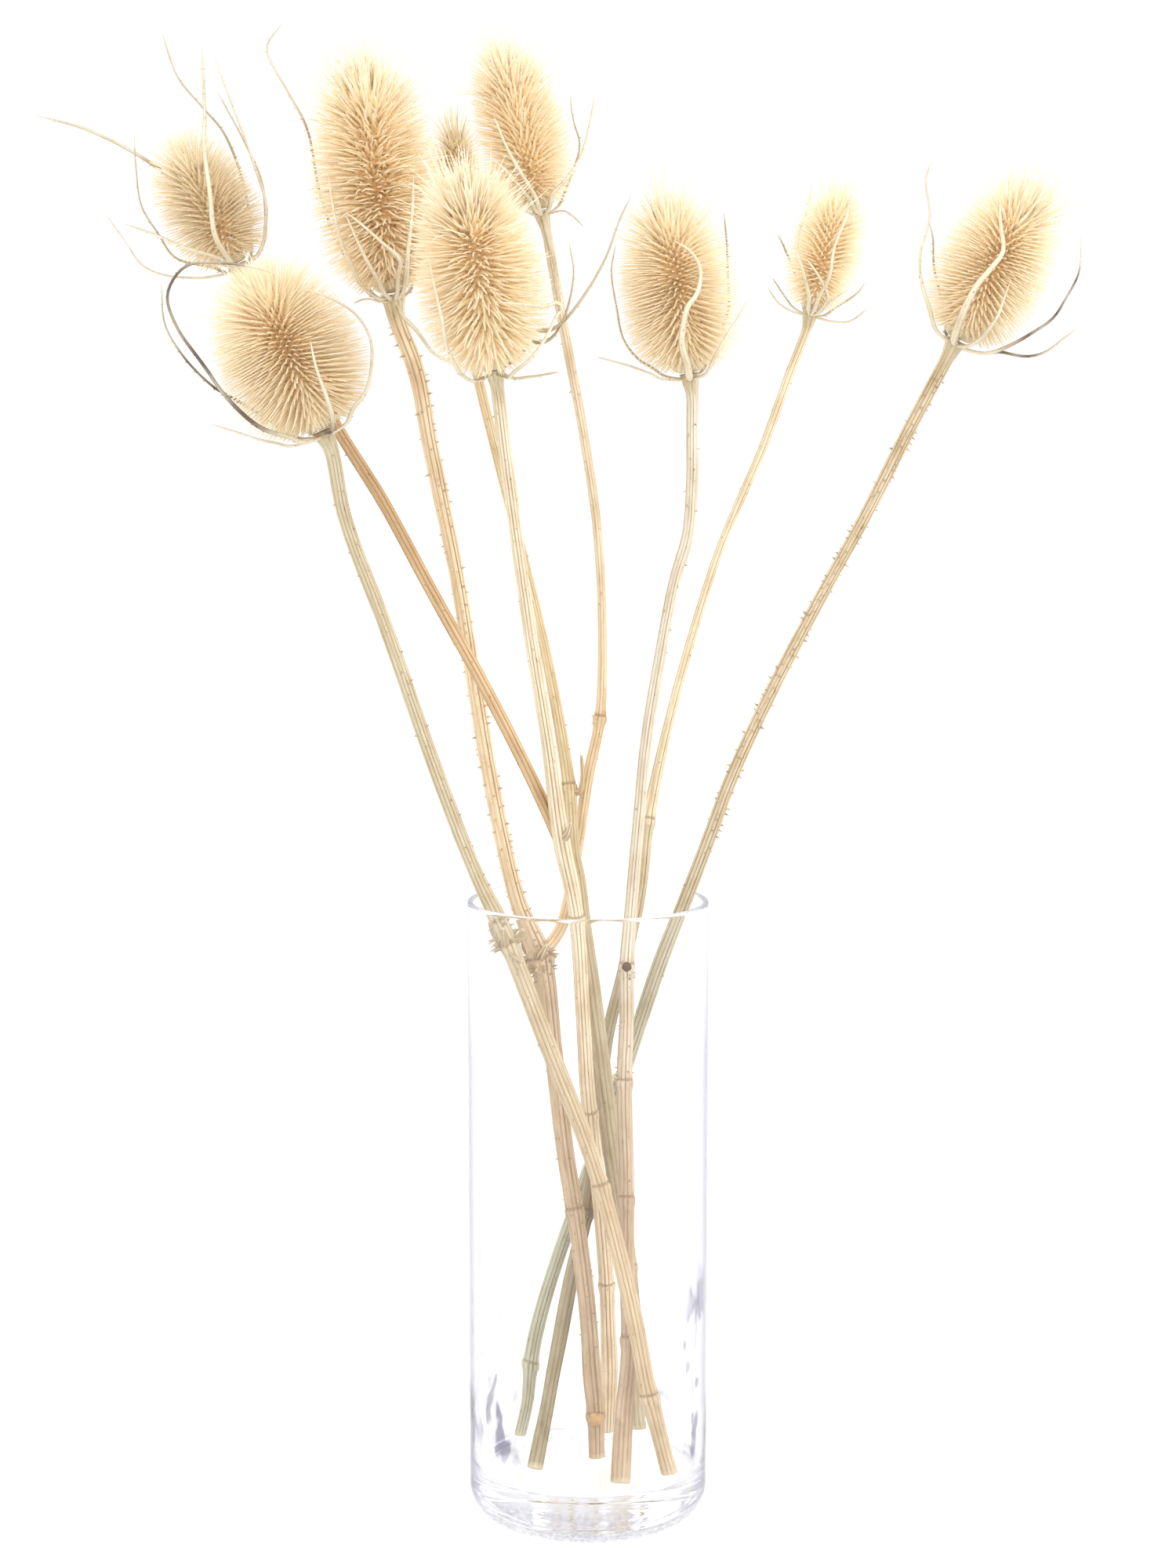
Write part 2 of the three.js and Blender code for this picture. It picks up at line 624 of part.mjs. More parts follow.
// Small cone with its root deep inside the stem.
function prickleGeometry(course, height, draw, seed) {
  const points = fullCourse(course);
  const centre = pointAtHeight(courseCurve(points), height);
  const radius = radiusAtHeight(points, course.knots, height);
  const turn = 2 * Math.PI * scatter(draw, seed + 5);
  const rise = 0.35 * scatter(draw, seed + 6) - 0.1;
  const outward = new THREE.Vector3(Math.cos(turn), Math.sin(turn), rise).normalize();
  const path = [
    centre.clone().addScaledVector(outward, radius * 0.2),
    centre.clone().addScaledVector(outward, radius + PRICKLE_LENGTH),
  ];
  return stalk(path, [PRICKLE_RADIUS * 1.3, 0.3], 3, 0);
}

function stemGeometry(stem, seed) {
  const pieces = stem.courses.map(courseGeometry);
  for (const course of stem.courses) {
    const head = HEADS[course.head];
    pieces.push(...head.bracts.map((bract) => bractGeometry(head, bract)));
  }
  pieces.push(...stem.stubs.map(stubGeometry));
  let draw = 0;
  for (const [from, to, count] of stem.prickles) {
    for (let index = 0; index < count; index += 1) {
      draw += 1;
      const height = THREE.MathUtils.lerp(from, to, (index + scatter(draw, seed)) / count);
      pieces.push(prickleGeometry(stem.courses[0], height, draw, seed));
    }
  }
  const whole = pieces.map(solidFrom).reduce((sum, solid) => sum.add(solid));
  return geometryOf(whole);
}

function quarterArc(centreX, centreY, radius, fromTurn, toTurn, pieces) {
  const points = [];
  for (let piece = 0; piece <= pieces; piece += 1) {
    const turn = THREE.MathUtils.lerp(fromTurn, toTurn, piece / pieces) * Math.PI;
    points.push(new THREE.Vector2(centreX + radius * Math.cos(turn), centreY + radius * Math.sin(turn)));
  }
  return points;
}

function vaseGeometry() {
  const half = VASE_RIM / 2;
  const inner = VASE_RADIUS - VASE_WALL;
  const profile = [
    new THREE.Vector2(0, 0),
    ...quarterArc(VASE_RADIUS - VASE_HEEL, VASE_HEEL, VASE_HEEL, -0.5, 0, 4),
    ...quarterArc(VASE_RADIUS - half, VASE_HEIGHT - half, half, 0, 1, 4),
    ...quarterArc(inner - VASE_INNER_CORNER, VASE_FLOOR + VASE_INNER_CORNER, VASE_INNER_CORNER, 0, -0.5, 2),
    new THREE.Vector2(0, VASE_FLOOR),
  ];
  const lathe = new THREE.LatheGeometry(profile, VASE_SIDES);
  lathe.rotateX(Math.PI / 2);
  return lathe;
}

function headMesh(name, head, seed) {
  const { base, axis } = headFrame(head);
  const material = new THREE.MeshStandardMaterial({ color: HEAD_COLOUR, roughness: 0.9, metalness: 0 });
  const mesh = named(name, headGeometry(head, seed), material);
  mesh.position.copy(base);
  mesh.quaternion.setFromUnitVectors(new THREE.Vector3(0, 0, 1), axis);
  return mesh;
}

function stemMesh(name, stem, seed) {
  const material = new THREE.MeshStandardMaterial({ color: stem.colour, roughness: 0.85, metalness: 0 });
  return named(name, stemGeometry(stem, seed), material);
}

function vaseMesh() {
  const material = new THREE.MeshStandardMaterial({
    color: GLASS_COLOUR, roughness: 0.02, metalness: 0, transparent: true, opacity: 0.25,
  });
  return named('vase', vaseGeometry(), material);
}

const teasels = new THREE.Group();
teasels.add(vaseMesh());
Object.entries(STEMS).forEach(([name, stem], index) => teasels.add(stemMesh(name, stem, index + 1)));
Object.entries(HEADS).forEach(([name, head], index) => teasels.add(headMesh(name, head, index + 20)));

export default teasels;
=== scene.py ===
"""Dried teasels standing in a clear glass cylinder vase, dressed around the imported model.

Metres, +Z up. The origin is the centre of the vase's base, and the front faces -Y. The tables of
heads and stems are in millimetres.
"""

import math

import bpy
import numpy as np
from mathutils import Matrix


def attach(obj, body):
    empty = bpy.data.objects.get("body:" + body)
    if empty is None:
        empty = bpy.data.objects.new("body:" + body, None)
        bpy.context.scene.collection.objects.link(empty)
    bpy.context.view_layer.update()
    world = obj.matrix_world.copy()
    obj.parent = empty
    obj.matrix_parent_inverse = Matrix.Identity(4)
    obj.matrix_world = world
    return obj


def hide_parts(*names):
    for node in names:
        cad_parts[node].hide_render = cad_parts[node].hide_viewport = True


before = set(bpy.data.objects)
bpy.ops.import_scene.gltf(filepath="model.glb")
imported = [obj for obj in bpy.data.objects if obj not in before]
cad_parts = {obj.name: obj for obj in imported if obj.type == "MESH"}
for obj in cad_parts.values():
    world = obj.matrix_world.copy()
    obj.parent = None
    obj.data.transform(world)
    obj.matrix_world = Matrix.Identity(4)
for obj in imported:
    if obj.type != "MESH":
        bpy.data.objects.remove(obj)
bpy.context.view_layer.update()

# Vase
VASE_RADIUS = 0.050
VASE_HEIGHT = 0.264
VASE_WALL = 0.004
VASE_RIM = 0.0026
VASE_FLOOR = 0.0232
VASE_HEEL = 0.016
VASE_INNER_CORNER = 0.003
VASE_SIDES = 144
VASE_RING_STEP = 0.004
UNDERSIDE_RINGS = (0.008, 0.020)
FLOOR_RINGS = (0.036, 0.030, 0.024, 0.018, 0.012, 0.006)
RIM_RINGS = (0.0012, 0.0004)
OUTER_RIPPLE = 0.25
RIPPLE_HEIGHT = 0.13
RIPPLE_DEPTH = 0.00018

# Stems
STEM_SIDES = 48
STEM_RING_STEP = 0.0025
RIB_DEPTH = 0.055
FINE_RIB_DEPTH = 0.030
RIB_MIDDLE = 0.97
WOBBLE_DEPTH = 0.008
NECK_LENGTH = 0.009
NECK_FLARE = 0.0016
NECK_SHOULDER = 0.0012
NECK_GREEN_LENGTH = 0.016
HEAD_GAP = 0.0005
KNOT_HALF_HEIGHT = 0.005
KNOT_RINGS = 23
CREASE_RISE = 0.0016
CREASE_WIDTH = 0.0006
CREASE_DEPTH = 0.00035
STUB_SIDES = 12
PRICKLE_SIDES = 5

# Heads: a brown core, and spines that stand out of it in the spirals of a sunflower
CORE_SHARE = 0.47
CORE_ROUNDNESS = 0.6
CORE_BOTTOM = 0.0015
CORE_TOP_DROP = 0.014
TIP_ROUNDNESS = 0.6
LOW_BULGE = 0.12
FIRST_LATITUDE = 0.1
LAST_LATITUDE = 0.965
LOWEST_ROOT = 0.12
HIGHEST_ROOT = 0.99
LOWEST_HAIR = 0.72
HAIR_TONE = 0.88
HAIR_WIDTH = 0.70
SPINE_CELL = 3.1e-6
SPINE_SAG = 0.05
SPINE_RIM = 0.35
SPINE_TONE = 0.97
SPINE_WHITEST = 0.97
RISE_STRAY = 0.03
TURN_STRAY = 0.05
SAG_STRAY = 0.04
SWAY_STRAY = 0.03
TONE_STRAY = 0.05
WIDTH_STRAY = 0.08
ROOT_SINK = 0.0008
CORE_RINGS = 34
CORE_SIDES = 40
CUP_REACH = 0.0038
CUP_BOTTOM = 0.0002
CUP_RIM_LATITUDE = 0.13
GOLDEN_TURN = math.pi * (3 - math.sqrt(5))

# How steeply the spines rise, as (share of the core's height, degrees)
SPINE_RISE = [(0.00, -42), (0.10, -32), (0.22, -20), (0.42, -6), (0.60, 2), (0.76, 12), (0.86, 26),
              (0.94, 50), (1.00, 84)]

# One spine's section along its length: share, half width, keel, hollow
SPINE_SECTIONS = np.array([
    (0.00, 0.00112, 0.00080, -0.00030),
    (0.14, 0.00104, 0.00074, -0.00025),
    (0.30, 0.00060, 0.00048, -0.00005),
    (0.56, 0.00041, 0.00034, 0.00010),
    (0.84, 0.00025, 0.00021, 0.00012),
    (1.00, 0.00007, 0.00006, 0.00005),
])

# Bracts
BRACT_CLEARANCE = 0.0016
BRACT_ROOT_DEPTH = 0.0026
BRACT_ROOT_REACH = 0.0012
BRACT_TIP_WIDTH = 0.0007
BRACT_TIP_THICKNESS = 0.0005
BRACT_STEP = 0.0025
BRACT_TIP_START = 0.93
BRACT_PRICKLE_RADIUS = 0.00028
BRACT_PRICKLE_LENGTHS = (0.0007, 0.0015)
BRACT_PRICKLE_STEP = 2
BRACT_BARE_SHARE = 0.35
STAIN_BLUR = 0.12
NECK_REACH = 0.006
WRAP_SOFTNESS = 0.00006
FRONT = 1
BACK = -1
LOW = 0

# Camera, at the photograph's viewing angle
CAMERA_DISTANCE = 1.4
CAMERA_HEIGHT = 0.5007
CAMERA_DIP = math.radians(7.672)
CAMERA_SENSOR = 36
CAMERA_LENS = 78.74

# Light
WORLD_STRENGTH = 1.66
SEEN_STRENGTH = 1.02
LIT_PLACE = (0, 0, 0.52)
GLASS_BOUNCES = 160
STRAW_BOUNCES = 10
FLOOR_HALF_SIZE = 8.0
FLOOR_DROP = 0.0004


def metres(millimetres):
    return np.array(millimetres, float) / 1000


def unit(vectors):
    lengths = np.linalg.norm(vectors, axis=-1, keepdims=True)
    return vectors / np.maximum(lengths, 1e-12)


def tint(red, green, blue):
    """A screen colour from 0 to 255, as linear light."""
    share = np.array([red, green, blue]) / 255
    return np.where(share > 0.04045, ((share + 0.055) / 1.055) ** 2.4, share / 12.92)


def bract(side, width, *course, stain=None):
    """The course is drawn in its head's own upright plane, as (right of the axis, up the axis)."""
    return {"side": side, "width": metres(width), "course": metres(course), "stain": stain}


def head_look(stray, press, ragged, hairs, reach, pale):
    return {"stray": stray, "press": press, "ragged": ragged, "hairs": hairs, "reach": metres(reach),
            "pale": pale}


def seed_head(base, tip, radius, look, *bracts):
    """Its own right, front and axis go with it. Front points towards the viewer."""
    base = metres(base)
    axis = metres(tip) - base
    length = np.linalg.norm(axis)
    axis = axis / length
    right = unit(np.cross(axis, (0, -1, 0)))
    return {"base": base, "axis": axis, "right": right, "front": np.cross(right, axis),
            "length": length, "radius": metres(radius), "look": look, "bracts": bracts}


def stem_look(low, high, groove, ribs, *prickles):
    return {"low": tint(*low), "high": tint(*high), "groove": tint(*groove), "ribs": ribs,
            "prickles": prickles}


def course_to(head, knots, look, *points):
    return {"head": head, "knots": metres(knots), "look": look, "points": metres(points)}


def cut_stem(courses, stubs=()):
    return {"courses": courses, "stubs": [metres(stub) for stub in stubs]}


# Colours
WHITE = (1.0, 1.0, 1.0)
SPINE_ROOT = tint(245, 231, 204)
SPINE_SCALE = tint(244, 229, 199)
SPINE_PALE = tint(241, 227, 200)
SPINE_TIP = tint(232, 216, 188)
CORE_BROWN = tint(237, 208, 163)
CUP_GREEN = tint(216, 204, 174)
BRACT_PALE = tint(227, 217, 193)
BRACT_STAIN = tint(112, 96, 84)
NECK_GREEN = tint(214, 205, 180)
PITH = tint(216, 202, 172)
KNOT_BROWN = tint(122, 92, 62)
SCAR_BROWN = tint(104, 74, 56)
SCAR_TAN = tint(206, 166, 116)

# The cut ends of the stubs that aren't pith
STUB_ENDS = {("stem_right_centre", 0): SCAR_BROWN, ("stem_tall_forked", 0): SCAR_TAN}

# One head: its base, its tip, its radius over the spines, its look and its bracts. The look says how
# much the spines stray, how far they press up, how ragged their tips are, how many long hairs stand
# in the tuft and how far past the spines, and how pale the head is. A low bract hangs under the head.
# A stain runs between two shares of a bract's length.
HEADS = {
    "head_far_left": seed_head(
        (-144.9, 28, 524.6), (-170.2, 28, 577.3), 21, head_look(0.6, 0.25, 0.06, 26, 6, 0.96),
        bract(FRONT, 2.2, (-1, 4), (-1, 12), (5, 29), (12, 51), (21, 72), (26, 83)),
        bract(FRONT, 2, (16, 4), (22, 15), (25, 35), (27, 54), (29, 77)),
        bract(BACK, 2, (15, 5), (24, 25), (25, 42), (24, 66)),
        bract(FRONT, 2.2, (-3, 3), (-15, 14), (-26, 26), (-34, 34)),
        bract(BACK, 1.8, (-10, 3), (-22, 13), (-24, 25), (-25, 38), (-20, 53), (-15, 64)),
        bract(FRONT, 1.8, (-16, 1), (-28, 8), (-35, 16), (-37, 27), (-39, 40)),
        bract(BACK, 1.8, (-2, 4), (-6, 28), (-14, 52), (-31, 75), (-47, 89)),
        bract(BACK, 1.6, (8, 5), (14, 21), (19, 49), (16, 62), (12, 78), (14, 96)),
    ),
    "head_left_front": seed_head(
        (-104.5, -45, 458.8), (-132.1, -50, 523.9), 29.5, head_look(0.35, 0, 0.05, 30, 8, 1.05),
        bract(FRONT, 2.6, (-12, 4), (-20, 11), (-28, 27), (-33, 44), (-36, 60), (-34, 72), (-23, 79),
              (-8, 74), (6, 66), (12, 60), stain=(0.1, 0.92)),
        bract(FRONT, 2.4, (16, 4), (23, 8), (30, 19), (32, 27), (30, 38), (24, 47), (17, 54)),
        bract(FRONT, 2.2, (8, 6), (9, 13), (10, 25), (12, 35), stain=(0, 0.4)),
        bract(FRONT, 2, (-18, 3), (-28, 10), (-39, 19)),
        bract(BACK, 1.8, (-17, 6), (-33, 32), (-39, 49), (-40, 62), (-35, 76), stain=(0.1, 0.8)),
        bract(BACK, 2, (3, 5), (4, 20), (-1, 38)),
        bract(BACK, 1.8, (-9, 4), (-13, 15), (-11, 29)),
    ),
    "head_tall": seed_head(
        (-79.5, 11, 512.3), (-91.8, 11, 605.7), 27.5, head_look(1.6, 0.05, 0.1, 190, 14, 1.09),
        bract(FRONT, 2.2, (-4, 5), (-8, 16), (-13, 33)),
        bract(FRONT, 2, (4, 5), (6, 12), (-1, 21), (-8, 29), (-13, 34)),
        bract(FRONT, 2.6, (7, 4), (10, 16), (14, 32), (16, 45)),
        bract(FRONT, 2, (-12, 6), (-17, 25), (-18, 43), (-18, 50)),
        bract(LOW, 1.8, (-5, -3), (-10, -1), (-16, -2)),
        bract(LOW, 2, (3, -10), (8, -17), (13, -26), (20, -31), (25, -33)),
        bract(BACK, 1.6, (-11, 4), (-20, 21), (-25, 44), (-26, 71), (-31, 85), (-37, 104), (-30, 112)),
        bract(BACK, 2, (9, 5), (17, 23), (20, 43)),
    ),
    "head_small_hidden": seed_head(
        (-53.2, 64, 541.2), (-57.3, 66, 590.1), 12.5, head_look(0.6, 0.1, 0.06, 14, 4, 0.88),
        bract(BACK, 1.8, (-7, 4), (-13, 12), (-16, 26)),
        bract(BACK, 1.8, (7, 4), (13, 14), (15, 26)),
        bract(FRONT, 1.8, (-3, 4), (-7, 13), (-5, 25)),
        bract(BACK, 1.8, (0, 4), (1, 13), (0, 27)),
    ),
    "head_centre_front": seed_head(
        (-36.6, -57, 483.7), (-47.3, -88, 556), 26, head_look(1.2, 0.15, 0.08, 190, 13, 1.09),
        bract(FRONT, 2.2, (-13, 7), (-16, 20), (-16, 33), (-17, 48), (-17, 58)),
        bract(FRONT, 2.2, (8, 4), (16, 9), (26, 18), (30, 21), (22, 29), (14, 34), (5, 38)),
        bract(LOW, 1.8, (8, -5), (15, -6), (25, -6)),
        bract(BACK, 2, (15, 3), (23, 6), (29, 13), (36, 32), (36, 46)),
        bract(BACK, 2, (13, 4), (28, 12), (38, 22), (49, 37), (56, 51), (62, 61)),
        bract(BACK, 2, (-6, 6), (-13, 20), (-15, 36)),
    ),
    "head_top_centre": seed_head(
        (-19.3, 24, 546.5), (-36.7, 24, 614.2), 19.5, head_look(0.9, 0.45, 0.08, 110, 12, 1.08),
        bract(FRONT, 2, (-3, 4), (-10, 18), (-16, 27)),
        bract(FRONT, 1.8, (-8, 4), (-11, 11)),
        bract(FRONT, 2, (-1, 5), (-7, 26), (-9, 40)),
        bract(FRONT, 2.2, (6, 4), (14, 9), (21, 16), (27, 26), (33, 39)),
        bract(BACK, 1.8, (11, 4), (22, 21), (22, 31), (23, 41)),
        bract(LOW, 1.8, (9, -3), (12, -6), (15, -11)),
        bract(LOW, 1.8, (0, -11), (0, -21), (-1, -31), (-3, -42)),
        bract(BACK, 2, (-4, 4), (-7, 21), (-3, 37)),
    ),
    "head_right_centre": seed_head(
        (40.1, -32, 480.9), (30.1, -36, 551.8), 24, head_look(0.4, 0, 0.06, 50, 13, 1.04),
        bract(FRONT, 3, (-1, 5), (-2, 13), (0, 22), (2, 27), (6, 31), (8, 35), (9, 41), (6, 48), (0, 53)),
        bract(BACK, 1.8, (-14, 3), (-19, 7), (-24, 16), (-25, 28), (-25, 44), (-22, 53)),
        bract(FRONT, 2, (10, 5), (15, 12), (23, 21), (26, 25)),
        bract(BACK, 1.8, (10, 6), (19, 20), (21, 35), (22, 49), (22, 60)),
        bract(FRONT, 1.8, (-15, 2), (-23, 6), (-35, 11)),
        bract(BACK, 2, (2, 5), (3, 16), (-1, 32)),
    ),
    "head_small_right": seed_head(
        (95.6, 82, 505.9), (109.3, 84, 561.9), 16.5, head_look(0.4, 0.2, 0.05, 18, 5, 1.08),
        bract(FRONT, 1.8, (-3, 4), (-9, 15), (-13, 22), (-14, 29), (-13, 39), (-13, 51)),
        bract(BACK, 1.6, (-4, 5), (-12, 17), (-22, 28)),
        bract(FRONT, 1.8, (1, 5), (3, 14), (2, 27), (4, 41), (4, 51)),
        bract(FRONT, 1.6, (5, 6), (-2, 14), (-8, 19)),
        bract(LOW, 1.8, (-7, -3), (-14, -1), (-20, 4)),
        bract(BACK, 1.8, (-11, 2), (-19, 9)),
        bract(BACK, 1.8, (10, 3), (18, 12), (20, 17)),
        bract(FRONT, 1.6, (6, 4), (12, 11)),
        bract(LOW, 1.8, (8, -3), (17, -1), (23, 6)),
    ),
    "head_far_right": seed_head(
        (146.8, -25, 494.1), (177.8, -28, 556.7), 23.5, head_look(0.4, 0, 0.06, 56, 14, 1.05),
        bract(FRONT, 3, (-4, 5), (-5, 12), (-5, 22), (-3, 31), (-2, 38), (-7, 46), (-12, 56)),
        bract(FRONT, 2.2, (7, 5), (8, 14), (7, 21), (6, 28)),
        bract(FRONT, 2.6, (16, 3), (25, 15), (30, 24), (31, 33), (31, 44), (28, 52), (25, 57),
              stain=(0.2, 0.9)),
        bract(BACK, 2.4, (18, 3), (28, 6), (34, 11), (38, 19), (41, 25), stain=(0.2, 0.75)),
        bract(FRONT, 2.4, (-15, 4), (-24, 14), (-29, 24), (-32, 38), (-40, 50), (-41, 57)),
        bract(BACK, 1.6, (-6, 6), (-20, 21), (-26, 30), (-31, 36), stain=(0.05, 0.6)),
        bract(BACK, 2, (2, 5), (4, 20), (0, 36)),
    ),
}

# One stem: its courses from the cut end up, each to its head, and its stubs, short grown pieces. A
# course has knots, as (z, extra radius), its look and its points, as (x, y, z, radius). The second
# course is a branch that starts inside the first. A look is the colour at the cut end, under the head
# and in the grooves, how many ribs, and prickles, as (from z, to z, how many, length).
STEMS = {
    "stem_left_front": cut_stem([
        course_to(
            "head_left_front", [(59, 0.7), (146, 0.5), (246, 0.5)],
            stem_look((202, 181, 150), (202, 192, 166), (164, 138, 104), 11, (150, 240, 8, 1.4),
                      (246, 259, 46, 4.2), (262, 450, 34, 1.5)),
            (33, -24, 26.3, 3), (25, -24, 59, 3.5), (16, -21, 105, 3.4), (2, -16, 157, 3.4),
            (-17, -11, 206, 3.6), (-34, -8, 250, 3.8), (-46.5, -12, 278, 2.9), (-63, -20, 324, 2.9),
            (-80.5, -30, 378, 2.8), (-96.5, -38, 424, 2.8),
        ),
    ], [
        [(-34, -8, 246, 1.9), (-29, -8, 249, 1.6), (-26.5, -9, 253, 0.7)],
        [(-34, -8, 246, 1.9), (-34, -14, 249, 1.6), (-34.5, -16.5, 255, 0.6)],
        [(-34, -8, 246, 1.9), (-38.5, -9, 251, 1.3), (-40.5, -8, 256, 0.6)],
        [(-34, -8, 246, 1.9), (-33, -2, 250, 1.5), (-34, 0, 255, 0.6)],
        [(-34, -8, 244, 1.7), (-30, -12, 242, 1.2), (-27, -13, 240, 0.6)],
    ]),
    "stem_tall_forked": cut_stem([
        course_to(
            "head_tall", [(42, 0.8), (130, 0.5), (238, 1.2)],
            stem_look((191, 168, 139), (234, 214, 183), (140, 112, 84), 12, (70, 230, 60, 1.4),
                      (226, 250, 90, 3.2), (255, 500, 170, 1.9)),
            (4, 3, 24.2, 3.7), (2, 5, 60, 3.7), (-3, 7, 111, 3.6), (-10, 7, 158, 3.7), (-15, 5, 202, 3.8),
            (-20, 3, 239, 4.8), (-29, 4, 262, 3.3), (-38, 6, 301, 3.2), (-47, 8, 353, 3.1),
            (-53.5, 9, 395, 3), (-64.5, 10, 450, 3.2), (-70, 11, 480, 3.4),
        ),
        course_to(
            "head_top_centre", [(336, 0.8)],
            stem_look((224, 202, 170), (228, 214, 190), (178, 146, 106), 9, (300, 520, 24, 1.2)),
            (-20, 3, 239, 2.8), (-11, 17, 250, 2.5), (-5, 27, 278, 2.3), (0, 30, 311, 2.3),
            (5, 29, 336, 2.2), (6, 27, 374, 1.8), (4, 26, 414, 1.9), (-1.5, 25, 453, 1.9),
            (-11, 24, 504, 2),
        ),
    ], [
        [(3, 4, 41, 3.2), (3.3, -1.8, 42, 2.9)],
        [(-20, 3, 238, 2.4), (-19, -3.8, 242, 1.8), (-17, -5.5, 246, 0.7)],
        [(-20, 3, 238, 2.2), (-26, 5, 242, 1.7), (-27.5, 7, 247, 0.7)],
    ]),
    "stem_centre_forked": cut_stem([
        course_to(
            "head_centre_front", [(93, 0.6), (171, 0.7), (257, 0.4)],
            stem_look((230, 210, 179), (225, 214, 190), (160, 132, 100), 11, (310, 470, 20, 1.2)),
            (9.5, 36.5, 24.6, 3.3), (8, 23, 93, 3.3), (4, 14, 143, 3.2), (0, 7, 179, 3.2),
            (-2, 0, 213, 3), (-5, -9, 260, 3.1), (-11, -16, 292, 3.6), (-16, -24, 331, 2.8),
            (-22, -32, 370, 2.7), (-28.5, -42, 418, 2.6), (-32.5, -49, 450, 2.6),
        ),
        course_to(
            "head_far_left", [],
            stem_look((208, 180, 142), (196, 166, 128), (126, 88, 56), 8, (330, 480, 12, 1)),
            (-11, -16, 290, 2.7), (-21.5, -14, 313, 2.6), (-41, -8, 351, 2.6), (-63, -1, 390, 2.6),
            (-84, 6, 428, 2.6), (-103, 12, 458, 2.5), (-121, 20, 491, 2.4),
        ),
    ], [
        [(-11, -16, 291, 2.4), (-8, -20.5, 295, 1.4), (-7, -21.5, 299, 0.6)],
    ]),
    "stem_centre_back": cut_stem([
        course_to(
            "head_small_hidden", [(100, 0.5), (307, 0.7)],
            stem_look((188, 176, 148), (222, 203, 168), (168, 146, 108), 11, (320, 520, 22, 1.2)),
            (22, 32, 27, 3.4), (20, 31, 73, 3.5), (17, 26, 106, 3.6), (13, 21, 134, 3.9),
            (9, 18, 162, 4.2), (6, 17, 186, 4.2), (1, 18, 225, 3.9), (-2, 17, 249, 3.4),
            (-4, 17, 270, 2.8), (-6, 17, 281, 2.7), (-8, 26, 307, 2.8), (-14, 32, 344, 2.4),
            (-21, 37, 377, 2.2), (-30, 43, 413, 2.1), (-40, 50, 452, 2.1), (-47, 55, 481, 2.1),
            (-51, 60, 511, 2.1),
        ),
    ], [
        [(-8, 26, 306, 1.8), (-3.6, 24.4, 305.5, 1.5), (-2.2, 24, 310, 1.2), (-2.8, 24, 321, 0.6)],
    ]),
    "stem_right_centre": cut_stem([
        course_to(
            "head_right_centre", [(80, 0.6), (138, 0.6), (187, 0.7), (236, 0.5)],
            stem_look((192, 169, 142), (222, 214, 197), (150, 124, 98), 10, (190, 235, 30, 1.8),
                      (360, 465, 18, 1.4)),
            (13, -32, 24.9, 3.9), (15, -20, 51, 3.8), (17, -13, 80, 3.5), (16, -8, 115, 3.1),
            (16, -4, 148, 3.1), (15, -1, 185, 3.3), (16, 0, 213, 3), (16, 0, 236, 3.1),
            (18, -1, 263, 2.6), (21, -5, 300, 2.5), (24, -10, 333, 2.4), (29, -15, 365, 2.4),
            (35, -20, 398, 2.4), (40, -23, 416, 2.4), (41.5, -26, 436, 2.4), (41.5, -29, 460, 2.4),
        ),
    ], [
        [(16, 0, 236, 2.3), (16, -4.9, 236.5, 2)],
        [(17, -13, 80, 2), (21, -14.5, 84, 1.3)],
        [(15, -1, 187, 1.8), (10.4, -2, 190, 1.1)],
    ]),
    "stem_right_back": cut_stem([
        course_to(
            "head_small_right", [(125, 0.8), (290, 0.7)],
            stem_look((162, 150, 120), (230, 216, 188), (120, 104, 76), 8, (300, 490, 14, 1)),
            (-22, -15, 25.3, 3), (-15, 4, 59, 3.2), (-8, 15, 95, 3.1), (-1, 23, 125, 3.1),
            (4, 28, 163, 2.9), (8, 31, 198, 2.7), (15, 33, 227, 2.5), (22, 35, 260, 2.4),
            (26, 44, 293, 2.6), (34.5, 52, 332, 2), (43, 58, 363, 1.9), (56.5, 66, 405, 1.8),
            (75, 73, 448, 1.8), (86, 78, 478, 1.9),
        ),
    ]),
    "stem_far_right": cut_stem([
        course_to(
            "head_far_right", [(56, 0.9)],
            stem_look((184, 184, 162), (212, 194, 166), (118, 108, 76), 11, (290, 484, 190, 1.8),
                      (200, 290, 14, 1)),
            (-30, 27, 26, 2.8), (-26, 31, 54, 3.2), (-17, 34, 90, 3), (-5, 36, 125, 3.1),
            (7, 36, 158, 3.1), (18, 31, 192, 3.1), (29.5, 20, 230, 3.2), (38.5, 8, 257, 3),
            (48.5, -2, 286, 2.8), (59, -7, 316, 2.7), (73.5, -11, 349, 2.6), (93, -14, 388, 2.5),
            (113, -18, 426, 2.5), (128, -21, 457, 2.6),
        ),
    ]),
}


# Shapes


def mixed(first, second, share):
    share = np.asarray(share)[..., None]
    return first * (1 - share) + second * share


def eased(value, low, high):
    share = np.clip((value - low) / (high - low), 0, 1)
    return share * share * (3 - 2 * share)


def circle(sides):
    return np.arange(sides) / sides * 2 * math.pi


def round_sections(reach, turns):
    return np.dstack([reach * np.cos(turns), reach * np.sin(turns)])


def placed(name, data):
    thing = bpy.data.objects.new(name, data)
    bpy.context.scene.collection.objects.link(thing)
    return thing


